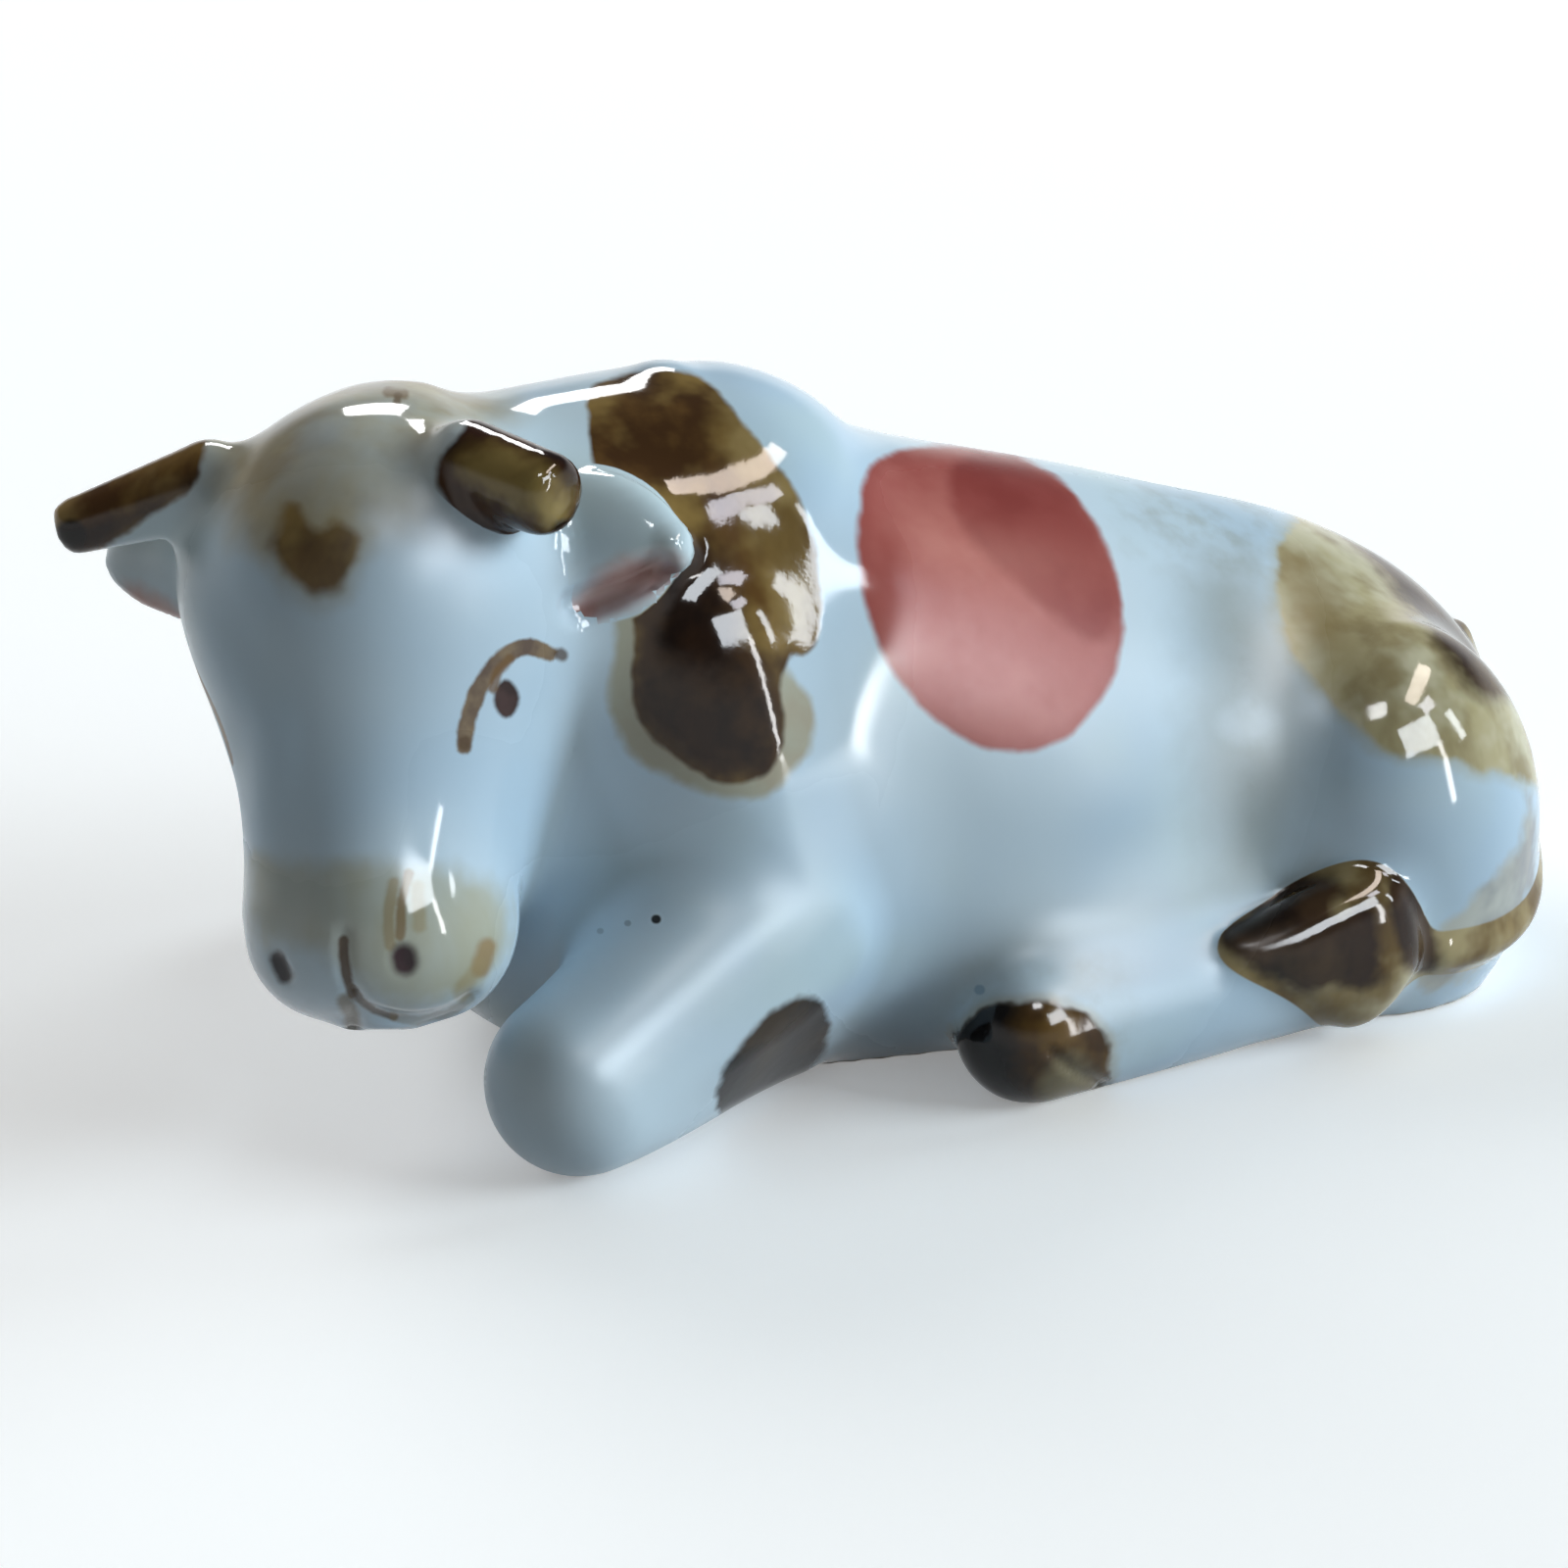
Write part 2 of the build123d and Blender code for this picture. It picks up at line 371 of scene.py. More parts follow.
def smoothLine(points, closed):
    # A curve through the points, with a few steps from each to the next
    points = np.array(points, float)
    if closed:
        points = np.concatenate((points[-1:], points, points[:2]))
    else:
        points = np.concatenate((2 * points[:1] - points[1:2], points, 2 * points[-1:] - points[-2:-1]))
    line = []
    for a, b, c, d in zip(points, points[1:], points[2:], points[3:]):
        for t in np.arange(marks["curveSteps"]) / marks["curveSteps"]:
            bend = 2 * a - 5 * b + 4 * c - d + t * (3 * b - a - 3 * c + d)
            line.append(b + t / 2 * (c - a + t * bend))
    if not closed:
        line.append(points[-2])
    return np.array(line)


def lineDistance(places, line, closed):
    # Distance from the line in pixels, negative inside a closed one
    nearest = np.full(len(places), np.inf)
    inside = np.zeros(len(places), bool)
    for start, end in zip(line, np.roll(line, -1, axis=0)) if closed else zip(line, line[1:]):
        way = end - start
        offset = places - start
        along = np.clip(offset @ way / (way @ way), 0, 1)
        nearest = np.minimum(nearest, np.hypot(*(offset - along[:, None] * way).T))
        crossing = (start[1] > places[:, 1]) != (end[1] > places[:, 1])
        edge = offset[crossing, 1] * way[0] / way[1] if crossing.any() else 0
        inside[crossing] ^= offset[crossing, 0] < edge
    return np.where(inside, -nearest, nearest) if closed else nearest


def markDistance(surface, line, closed=True, views=("near",), wrap=False):
    # How far each point lies outside a mark that the photograph shows, in metres, negative inside
    curve = smoothLine(line, closed)
    low, high = curve.min(axis=0) - marks["margin"], curve.max(axis=0) + marks["margin"]
    best = np.full(len(surface.points), marks["farAway"])
    for view in views:
        places, scale = pixelPlaces(asSeen(surface.points, view))
        facing = asSeen(surface.skinNormals, view.replace("farHead", "turned")) @ np.array(photoBack)
        near = np.all((places > low) & (places < high), axis=1)
        found = np.full(len(best), marks["farAway"])
        found[near] = lineDistance(places[near], curve, closed) / scale[near]
        if not wrap:
            hidden = np.clip((marks["facingFrom"] - facing) / marks["facingOver"], 0, 1)
            found += hidden * (marks["farAway"] - found)
        best = np.minimum(best, found)
    return best


# What was pressed, scratched or left proud before the glaze: line, half width in pixels, depth
pressed = {
    "leftNostril": ([(411, 976), (413, 983)], 15, 0.3 * mm),
    "rightNostril": ([(282, 979), (291, 997)], 10, 0.4 * mm),
    "philtrum": ([(351, 955), (350, 973), (353, 997), (360, 1015), (361, 1050)], 11, 0.3 * mm),
    "mouth": ([(363, 1014), (374, 1028), (400, 1039), (427, 1041), (458, 1034), (482, 1018)], 11, 0.3 * mm),
    "earHollow": ([(590, 618), (630, 602), (668, 584)], 24, 1.1 * mm),
    "earTip": ([(690, 556), (694, 566)], 26, -0.5 * mm),
    "faceEdge": ([(176, 576), (230, 680), (275, 746), (268, 859), (270, 925)], 34, -0.35 * mm),
    "hoofCleft": ([(1072, 1073), (1100, 1096), (1134, 1112)], 9, 0.3 * mm),
}


def pressForms(surface):
    for line, halfWidth, depth in pressed.values():
        distance = markDistance(surface, line, closed=False) * focal / photo["distance"]
        ease = np.clip(1 - distance / halfWidth, 0, 1)
        surface.points -= surface.skinNormals * (depth * ease * ease * (3 - 2 * ease))[:, None]


def fillShare(surface, away):
    # How far the corners fill at each point: less around the fine pieces, and not at all in the vent
    share = np.ones(len(surface.points))
    for name, distance in zip(surface.names, away):
        low = skin["fillShares"][kindOf(name)]
        rise = np.clip(distance / skin["detailReach"], 0, 1) ** 2
        share = np.minimum(share, low + (1 - low) * rise)
    ventAway = np.hypot(surface.points[:, 0] - vent["centre"].x, surface.points[:, 1])
    low = surface.points[:, 2] < vent["clear"] * vent["depth"]
    share[low & (ventAway < vent["clear"] * vent["radius"])] = 0
    return share


def shapeSkin():
    surface = Surface(fuseCastings())
    print("castings fused:", len(surface.points), "points")
    surface.names = sorted(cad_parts)
    surface.sole = surface.points[:, 2] < skin["soleBand"]
    away = np.stack([distanceTo(name, surface, skin["detailReach"]) for name in surface.names])
    share = fillShare(surface, away)
    evenOut(surface, skin["evenPasses"] // 2)
    skinTree = BVHTree.FromPolygons(surface.points.tolist(), surface.quads.tolist())
    surface.hidden = {name: hiddenFaces(name, skinTree) for name in surface.names}
    print("joint faces found")
    before = surface.points.copy()
    fillCorners(surface, share)
    surface.fields["filled"] = np.linalg.norm(surface.points - before, axis=1)
    evenOut(surface, skin["evenPasses"])
    surface.skinNormals = surface.normals()
    pressForms(surface)
    surface.skinNormals = surface.normals()
    field = away.T
    for _ in range(skin["labelPasses"]):
        field = surface.neighbourMean(field)
    surface.owner = np.argmin(field[surface.quads].sum(axis=1), axis=1)
    for kind in ("horn", "tail", "ear"):
        own = np.array([kindOf(name) == kind for name in surface.names])
        surface.fields[kind] = field[:, own].min(axis=1) - field[:, ~own].min(axis=1)
    joinIslands(surface)
    surface.write()
    return surface


cow = shapeSkin()
print("skin shaped")

# The caps that close a piece where it was luted
caps = {
    "rimDepth": 0.6 * mm,
    "edge": 1.6 * mm,
    "splits": 5,
    "passes": 40,
    "smoothing": 0.8,
    "weld": 0.01 * mm,
    "mendRounds": 6,
    "skin": 0,  # material numbers that tell the two apart until the cap is done
    "cap": 1,
}


def capFaces(bm):
    return [face for face in bm.faces if face.material_index == caps["cap"]]


def inCap(item):
    return all(face.material_index == caps["cap"] for face in item.link_faces)


def fillHoles(bm):
    filled = bmesh.ops.holes_fill(bm, edges=openEdges(bm))["faces"]
    for face in filled:
        face.material_index = caps["cap"]
    return filled


def mendCap(bm):
    # Opens the cap wherever its faces lie double or meet three at an edge, and fills it again
    for _ in range(caps["mendRounds"]):
        corners = {vert for edge in bm.edges if len(edge.link_faces) != 2 for vert in edge.verts}
        bad = [face for face in capFaces(bm) if not corners.isdisjoint(face.verts)]
        if not bad:
            return
        bmesh.ops.delete(bm, geom=bad, context="FACES")
        bare = [edge for edge in bm.edges if edge.is_wire]
        bmesh.ops.delete(bm, geom=bare, context="EDGES")
        bmesh.ops.triangulate(bm, faces=fillHoles(bm))


def closeJoint(bm, tree):
    # Turns each open edge in, fills the loop and lays the fill on the face that the casting was luted by
    inward = bm.verts.layers.float_vector["skinNormal"]
    for vert in extrudeRim(bm):
        vert.co -= vert[inward] * caps["rimDepth"]
    fillHoles(bm)
    for _ in range(caps["splits"]):
        bmesh.ops.triangulate(bm, faces=capFaces(bm))
        long = [edge for edge in bm.edges if inCap(edge) and edge.calc_length() > caps["edge"]]
        bmesh.ops.subdivide_edges(bm, edges=long, cuts=1)
    bmesh.ops.triangulate(bm, faces=capFaces(bm))
    loose = [vert for vert in bm.verts if inCap(vert)]
    for _ in range(caps["passes"]):
        bmesh.ops.smooth_vert(
            bm, verts=loose, factor=caps["smoothing"], use_axis_x=True, use_axis_y=True, use_axis_z=True
        )
        for vert in loose:
            vert.co = tree.find_nearest(vert.co)[0] or vert.co
    bmesh.ops.remove_doubles(bm, verts=loose, dist=caps["weld"])
    mendCap(bm)
    joined = spread([face for face in bm.faces if face.material_index == caps["skin"]])
    stray = [face for face in bm.faces if face not in joined]
    bmesh.ops.delete(bm, geom=stray, context="FACES")
    for face in bm.faces:
        face.material_index = caps["skin"]


def cutPiece(surface, name):
    # The part of the skin that belongs to a casting, closed where it is luted to its neighbours
    bm = bmesh.new()
    bm.from_mesh(surface.mesh)
    wanted = surface.names.index(name)
    others = [face for face, owner in zip(bm.faces, surface.owner) if owner != wanted]
    bmesh.ops.delete(bm, geom=others, context="FACES")
    closeJoint(bm, surface.hidden[name])
    mesh = bpy.data.meshes.new("glazed_" + name)
    bm.to_mesh(mesh)
    bm.free()
    mesh.shade_smooth()
    normals = np.empty(len(mesh.vertices) * 3, np.float32)
    mesh.attributes["skinNormal"].data.foreach_get("vector", normals)
    mesh.normals_split_custom_set_from_vertices(normals.reshape(-1, 3))
    print(name, len(mesh.polygons), "faces")
    piece = link("glazed_" + name, mesh)
    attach(piece, "root")
    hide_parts(name)
    return piece


class Signal:
    # A number or colour in a material, so that sums and masks are plain expressions
    def __init__(self, tree, socket=None):
        self.tree = tree
        self.socket = socket

    def node(self, kind, settings, values, output=0):
        made = self.tree.nodes.new(kind)
        for key, value in settings.items():
            setattr(made, key, value)
        for key, value in values.items():
            if isinstance(value, Signal):
                self.tree.links.new(value.socket, made.inputs[key])
            else:
                made.inputs[key].default_value = value
        return Signal(self.tree, made.outputs[output])

    def maths(self, operation, *values):
        return self.node("ShaderNodeMath", {"operation": operation}, dict(enumerate(values)))

    def __add__(self, other):
        return self.maths("ADD", self, other)

    def __sub__(self, other):
        return self.maths("SUBTRACT", self, other)

    def __rsub__(self, other):
        return self.maths("SUBTRACT", other, self)

    def __mul__(self, other):
        return self.maths("MULTIPLY", self, other)

    def __truediv__(self, other):
        return self.maths("DIVIDE", self, other)

    def __pow__(self, other):
        return self.maths("POWER", self, other)

    __radd__ = __add__
    __rmul__ = __mul__

    def least(self, other):
        return self.maths("MINIMUM", self, other)

    def most(self, other):
        return self.maths("MAXIMUM", self, other)

    def ease(self, start, end):
        # 0 up to the start, 1 from the end on; the other way round where the start is larger
        low, high, first, last = (start, end, 0.0, 1.0) if start < end else (end, start, 1.0, 0.0)
        steps = {0: self, 1: low, 2: high, 3: first, 4: last}
        return self.node("ShaderNodeMapRange", {"interpolation_type": "SMOOTHSTEP"}, steps)

    def tint(self, under, over):
        # This mask lays one colour over another
        return self.node("ShaderNodeMix", {"data_type": "RGBA"}, {0: self, 6: under, 7: over}, 2)

    def dot(self, way):
        return self.node("ShaderNodeVectorMath", {"operation": "DOT_PRODUCT"}, {0: self, 1: way}, 1)

    def feed(self, shader, name):
        self.tree.links.new(self.socket, shader.inputs[name])


def colour(red, green, blue):
    # A colour as a paint chart writes it
    parts = [part / 255 for part in (red, green, blue)]
    return (*(part / 12.92 if part < 0.04 else ((part + 0.055) / 1.055) ** 2.4 for part in parts), 1)


def blots(scale, detail, start, end):
    return {"scale": scale, "detail": detail, "start": start, "end": end}


def mottle(pattern, first, second):
    # Two tones that give way to each other in blots
    return {"pattern": pattern, "tones": (first, second)}


def stroke(dark, middle, light, turn=(0, 0, 0), strength=1.0, balance=0.0):
    # Three tones of one paint, how the brush ran, how well it covers, and which tone it tends to
    return {"tones": (dark, middle, light), "turn": turn, "strength": strength, "balance": balance}


hand = {
    "wobble": 0.25 * mm,  # how far a brushed edge strays
    "wobbleScale": 500,
    "wobbleDetail": 2,
    "streakScale": 260,
    "streakDetail": 4,
    "streakStretch": (1, 1, 0.22),
    "streakEase": (0.38, 0.62),
    "blots": blots(210, 3, 0.42, 0.66),
    "grainScale": 900,
    "grainDetail": 3,
    "grainDepth": 0.012,
}

foot = {
    "edge": (0.3 * mm, 0.15 * mm),  # the glaze is wiped off up to here before firing
    "wobble": 0.3 * mm,
    "wobbleScale": 700,
    "roughness": 0.85,
    "bisque": mottle(blots(1500, 4, 0.3, 0.8), colour(226, 221, 208), colour(198, 190, 174)),
    "grainScale": 1800,
    "grainDetail": 4,
    "grainDepth": 0.03,
}

glaze = {
    "body": mottle(blots(45, 2, 0.35, 0.65), colour(203, 221, 232), colour(184, 208, 226)),
    "green": (0.5, colour(197, 216, 216)),
    "greenBlots": blots(70, 2, 0.5, 0.75),
    # A grey where glaze pools in the filled corners, which also lays painted shade there
    "poolAndShade": (0.5, colour(138, 148, 146)),
    "poolAndShadeDepth": (0.3 * mm, 3 * mm),  # of slip and glaze in the corner, where the grey also lays painted shade
    "grime": colour(132, 132, 110),
    "grimeBlots": blots(420, 4, 0.4, 0.7),
    "grimeRange": (0.12, 0.42),
    "darkerAboveHoofShare": 0.7,
    # Dust and painted shade in the valley between belly and haunch
    "dustAndShade": colour(128, 134, 126),
    "dustAndShadeBlots": blots(500, 4, 0.3, 0.8),
    "dustAndShadeRange": (0.62, 0.76),
    # A painted reflection of a window, as a pale oval in the valley
    "paintedReflection": (0.35, colour(203, 221, 232)),
    "speck": (0.7, colour(84, 84, 78)),
    "speckScale": 330.0,
    "speckSize": (0.05, 0.025),
    "speckBlots": blots(190, 1, 0.68, 0.7),
    "roughness": 0.07,
    "dullRoughness": 0.36,
    "ior": 1.36,
    "waveScale": 160,
    "waveDetail": 1,
    "waveDepth": 0.05,
}
glazeMarks = {
    "grimeBack": {
        "soft": 2 * mm,
        "wobble": mm,
        "line": [(1150, 510), (1200, 500), (1280, 522), (1300, 560), (1250, 590), (1180, 550)],
    },
    # Darker blots above the hind hoof
    "darkerAboveHindHoof": {
        "soft": 2 * mm,
        "wobble": mm,
        "line": [
            (975, 1010), (1040, 985), (1120, 990), (1160, 1030), (1140, 1070), (1060, 1020),
            (990, 1040),
        ],
    },
    # The valley between belly and haunch, where dust and painted shade lie
    "valleyDustAndShade": {
        "soft": 3.2 * mm,
        "wobble": 0.5 * mm,
        "line": [
            (1215, 600), (1262, 580), (1305, 640), (1330, 760), (1310, 860), (1262, 900), (1230, 820),
            (1220, 700),
        ],
    },
    # A painted reflection: a pale oval in the valley
    "valleyPaintedReflection": {
        "soft": 0.8 * mm,
        "line": [(1244, 740), (1258, 724), (1288, 721), (1305, 735), (1292, 755), (1258, 757)],
    },
    "dullFlank": {
        "soft": 2.5 * mm,
        "line": [
            (905, 470), (1290, 510), (1370, 690), (1340, 860), (1270, 1010), (1150, 1120), (900, 1080),
            (800, 980), (860, 880), (905, 760), (925, 600),
        ],
    },
    "dullLeg": {
        "soft": 2 * mm,
        "line": [
            (520, 880), (640, 860), (790, 800), (900, 790), (880, 940), (760, 1100), (640, 1210),
            (500, 1210), (490, 1040),
        ],
    },
    "dullFace": {
        "soft": 2 * mm,
        "line": [
            (220, 500), (420, 470), (560, 600), (540, 760), (440, 760), (400, 900), (250, 880),
            (180, 640),
        ],
    },
}


class Paint:
    # One glazed material: its places, its noises and its marks, then the colours laid over each other
    def __init__(self, name):
        self.material = bpy.data.materials.new(name)
        self.material.use_nodes = True
        self.root = Signal(self.material.node_tree)
        self.place = self.root.node("ShaderNodeTexCoord", {}, {}, 3)
        dull = self.inside("dullFlank").most(self.inside("dullLeg")).most(self.inside("dullFace"))
        self.roughness = dull * (glaze["dullRoughness"] - glaze["roughness"]) + glaze["roughness"]
        self.relief = self.noise(glaze["waveScale"], glaze["waveDetail"]) * glaze["waveDepth"]
        self.colour = self.mottled(glaze["body"])

    def noise(self, scale, detail, stretch=(1, 1, 1), turn=(0, 0, 0)):
        place = self.place
        if stretch != (1, 1, 1):
            angles = tuple(math.radians(angle) for angle in turn)
            place = self.root.node("ShaderNodeMapping", {}, {0: place, 2: angles, 3: stretch})
        return self.root.node("ShaderNodeTexNoise", {}, {"Vector": place, "Scale": scale, "Detail": detail})

    def blots(self, pattern):
        return self.noise(pattern["scale"], pattern["detail"]).ease(pattern["start"], pattern["end"])

    def patchy(self, pattern, span):
        least, most = span
        return self.blots(pattern) * (most - least) + least

    def mottled(self, paint):
        return self.blots(paint["pattern"]).tint(*paint["tones"])

    def height(self):
        return self.root.node("ShaderNodeSeparateXYZ", {}, {0: self.place}, 2)

    def mark(self, name):
        return self.root.node("ShaderNodeAttribute", {"attribute_name": name}, {}, 2)

    def wobble(self, scale, size):
        return (self.noise(scale, hand["wobbleDetail"]) - 0.5) * size

    def inside(self, name):
        # 1 inside a mark: its edge is soft and wobbles as a brush does
        mark = painted[name]
        scale = mark.get("wobbleScale", hand["wobbleScale"])
        size = mark.get("wobble", hand["wobble"])
        return (self.mark(name) + self.wobble(scale, 4 * size)).ease(mark["soft"], -mark["soft"])

    def halo(self, name):
        # Thin paint that ran out past the mark
        soft, grow = painted[name]["halo"]
        edge = self.mark(name) + self.wobble(hand["wobbleScale"], 4 * hand["wobble"])
        return (edge - grow).ease(soft, -soft)

    def lay(self, mask, tone):
        self.colour = mask.tint(self.colour, tone)

    def wash(self, mask, paint):
        strength, tone = paint
        self.lay(mask * strength, tone)

    def brush(self, mask, paint):
        # Thick and thin paint in streaks along the brush
        dark, middle, light = paint["tones"]
        along = self.noise(hand["streakScale"], hand["streakDetail"], hand["streakStretch"], paint["turn"])
        streaks = (along + paint["balance"]).ease(*hand["streakEase"])
        thin = self.blots(hand["blots"])
        self.lay(mask * paint["strength"], thin.tint(streaks.tint(dark, middle), light))

    def roughen(self, mask):
        # The colour lies in grains under the glaze
        grain = self.noise(hand["grainScale"], hand["grainDetail"]) * hand["grainDepth"]
        self.relief = self.relief + mask * grain

    def pixels(self):
        # Where the photograph shows a point, as far as the camera sees it
        fromTarget = {0: self.place, 1: photo["target"]}
        away = self.root.node("ShaderNodeVectorMath", {"operation": "SUBTRACT"}, fromTarget)
        scale = focal / photo["distance"]
        nearer = 1 - away.dot(photoBack) / photo["distance"]
        half = photo["pixels"] / 2
        return half + away.dot(photoRight) * scale / nearer, half - away.dot(photoUp) * scale / nearer

    def facing(self):
        normal = self.root.node("ShaderNodeTexCoord", {}, {}, 1)
        return normal.dot(photoBack).ease(*marks["drawnFacing"])

    def lineAway(self, x, y, route):
        # Distance in pixels from a line through the points of the route
        nearest = None
        for (ax, ay), (bx, by) in zip(route, route[1:]):
            wayX, wayY = bx - ax, by - ay
            square = wayX * wayX + wayY * wayY
            offX, offY = x - ax, y - ay
            along = (offX * (wayX / square) + offY * (wayY / square)).most(0.0).least(1.0)
            restX, restY = offX - along * wayX, offY - along * wayY
            distance = (restX * restX + restY * restY) ** 0.5
            nearest = distance if nearest is None else nearest.least(distance)
        return nearest

    def draw(self, lines, softness, within=1.0, rag=0.0):
        # Lines and dots too fine for a mark on the skin: route, half width in pixels, tone, strength
        x, y = self.pixels()
        facing = self.facing()
        for route, halfWidth, tone, strength in lines.values():
            away = self.lineAway(x, y, route) + rag
            line = away.ease((1 + softness) * halfWidth, (1 - softness) * halfWidth)
            self.lay(line * facing * within * strength, tone)

    def finish(self):
        bare = (self.height() + self.wobble(foot["wobbleScale"], foot["wobble"])).ease(*foot["edge"])
        self.lay(bare, self.mottled(foot["bisque"]))
        grain = self.noise(foot["grainScale"], foot["grainDetail"])
        relief = self.relief + bare * grain * foot["grainDepth"]
        shader = self.material.node_tree.nodes["Principled BSDF"]
        shader.inputs["IOR"].default_value = glaze["ior"]
        self.colour.feed(shader, "Base Color")
        (bare * foot["roughness"]).most(self.roughness).feed(shader, "Roughness")
        bump = self.root.node("ShaderNodeBump", {}, {"Strength": 1.0, "Distance": mm, "Height": relief})
        bump.feed(shader, "Normal")
        return self.material


def whiteGlaze(paint):
    # Bluish where it lies thick, with soft grime and a few burnt specks; painted shade greys the corners
    # and the valley, and a painted reflection lies in the valley
    paint.wash(paint.blots(glaze["greenBlots"]), glaze["green"])
    # Painted shade: the filled corners go grey, over the glaze that pools there
    paint.wash(paint.mark("filled").ease(*glaze["poolAndShadeDepth"]), glaze["poolAndShade"])
    # Grime smudges on the back, and the same blots at less strength darken the crease above the hind hoof
    grime = paint.inside("grimeBack").most(paint.inside("darkerAboveHindHoof") * glaze["darkerAboveHoofShare"])
    paint.lay(grime * paint.patchy(glaze["grimeBlots"], glaze["grimeRange"]), glaze["grime"])
    # Dust with painted shade over it, in blots, darkens the valley before the haunch
    dustAndShade = paint.inside("valleyDustAndShade") * paint.patchy(glaze["dustAndShadeBlots"], glaze["dustAndShadeRange"])
    paint.lay(dustAndShade, glaze["dustAndShade"])
    # A painted reflection lightens an oval in the valley
    paint.wash(paint.inside("valleyPaintedReflection"), glaze["paintedReflection"])
    cells = {"Vector": paint.place, "Scale": glaze["speckScale"], "Randomness": 1.0}
    speck = paint.root.node("ShaderNodeTexVoronoi", {}, cells).ease(*glaze["speckSize"])
    paint.wash(speck * paint.blots(glaze["speckBlots"]), glaze["speck"])


# Browns that several pieces share
brown = {
    "olive": colour(136, 110, 62),
    "brown": colour(80, 54, 26),
    "umber": colour(44, 26, 16),
    "black": colour(24, 15, 13),
    "tan": colour(168, 154, 122),
    "halo": colour(172, 166, 138),
}

saddleTurn = (0, 25, 20)
saddle = {
    "halo": mottle(blots(300, 3, 0.4, 0.65), brown["halo"], brown["tan"]),
    "haloStrength": 0.85,
    "farHalo": 0.7,
    "haloClear": (0, 0.2 * mm),  # the paint stopped at the ear
    "clear": (0.12 * mm, 0.3 * mm),
    "body": stroke(colour(68, 44, 22), colour(96, 68, 34), brown["olive"], saddleTurn, balance=-0.02),
    "olive": stroke(colour(116, 92, 50), brown["olive"], colour(154, 132, 86), saddleTurn, 0.85),
    "core": stroke(brown["black"], brown["umber"], colour(60, 38, 22), saddleTurn, 0.95),
}
saddleMarks = {
    "saddle": {
        "soft": 0.22 * mm,
        "wobble": 0.15 * mm,
        "line": [
            (603, 397), (640, 383), (668, 377), (700, 379), (724, 390), (742, 411), (780, 460),
            (810, 500), (827, 540), (834, 580), (838, 620), (834, 653), (823, 668), (808, 668),
            (798, 690), (799, 735), (797, 767), (783, 788), (760, 800), (733, 799), (707, 784),
            (673, 761), (651, 733), (645, 690), (647, 633), (640, 590), (622, 540), (609, 490),
            (600, 440),
        ],
    },
    "saddleHalo": {
        "soft": 0.4 * mm,
        "line": [
            (650, 585), (633, 612), (626, 640), (622, 693), (627, 740), (643, 768), (673, 789),
            (720, 808), (760, 816), (793, 804), (818, 776), (832, 745), (830, 716), (808, 690),
            (740, 620),
        ],
    },
    "saddleCore": {
        "soft": 1.1 * mm,
        "wobble": 0.5 * mm,
        "line": [
            (646, 640), (645, 690), (655, 735), (680, 762), (712, 783), (748, 797), (778, 787),
            (796, 757), (798, 712), (786, 672), (760, 640), (735, 560), (700, 540), (660, 575),
        ],
    },
    "saddleOlive": {
        "soft": 0.9 * mm,
        "wobble": 0.4 * mm,
        "line": [
            (738, 400), (788, 462), (826, 535), (838, 600), (836, 655), (823, 668), (806, 660),
            (793, 612), (768, 545), (748, 490), (728, 440),
        ],
    },
    "farSaddle": {
        "soft": 0.3 * mm,
        "halo": (0.5 * mm, 0.8 * mm),
        "views": ("farBody",),
        "line": [
            (700, 420), (780, 430), (850, 480), (885, 560), (880, 650), (840, 720), (780, 735),
            (720, 700), (680, 620), (665, 520),
        ],
    },
}


def paintSaddle(paint):
    halo = paint.inside("saddleHalo").most(paint.halo("farSaddle") * saddle["farHalo"])
    halo = halo * paint.mark("ear").ease(*saddle["haloClear"])
    paint.lay(halo * saddle["haloStrength"], paint.mottled(saddle["halo"]))
    clear = paint.mark("ear").ease(*saddle["clear"])
    near = paint.inside("saddle") * clear
    patch = near.most(paint.inside("farSaddle") * clear)
    paint.brush(patch, saddle["body"])
    paint.brush(near * paint.inside("saddleOlive"), saddle["olive"])
    paint.brush(near * paint.inside("saddleCore"), saddle["core"])
    paint.roughen(patch)


rump = {
    "halo": (0.45, brown["halo"]),
    "body": stroke(colour(150, 132, 84), colour(184, 170, 124), colour(206, 198, 164), (0, 40, 0), 0.9),
    "olive": (0.65, colour(130, 108, 62)),
    "core": stroke(brown["umber"], colour(76, 58, 42), colour(100, 82, 60)),
}
rumpMarks = {
    "rump": {
        "soft": 0.35 * mm,
        "wobble": 0.3 * mm,
        "halo": (0.6 * mm, 0.5 * mm),
        "wrap": True,
        "line": [
            (1322, 528), (1305, 558), (1302, 595), (1303, 625), (1314, 655), (1343, 700), (1378, 733),
            (1413, 764), (1455, 770), (1500, 780), (1532, 788), (1600, 790), (1640, 640), (1520, 500),
            (1400, 450), (1345, 490),
        ],
    },
    "rumpCore": {
        "soft": 0.9 * mm,
        "wobble": 0.4 * mm,
        "wrap": True,
        "line": [
            (1352, 520), (1366, 545), (1402, 578), (1440, 622), (1472, 668), (1496, 704), (1525, 715),
            (1610, 700), (1600, 560), (1450, 470),
        ],
    },
    "rumpOlive": {
        "soft": 1.6 * mm,
        "line": [(1318, 560), (1308, 600), (1318, 640), (1352, 670), (1376, 640), (1362, 590)],
    },
}


def paintRump(paint):
    patch = paint.inside("rump")
    paint.wash(paint.halo("rump"), rump["halo"])
    paint.brush(patch, rump["body"])
    paint.wash(patch * paint.inside("rumpOlive"), rump["olive"])
    paint.brush(patch * paint.inside("rumpCore"), rump["core"])
    paint.roughen(patch)


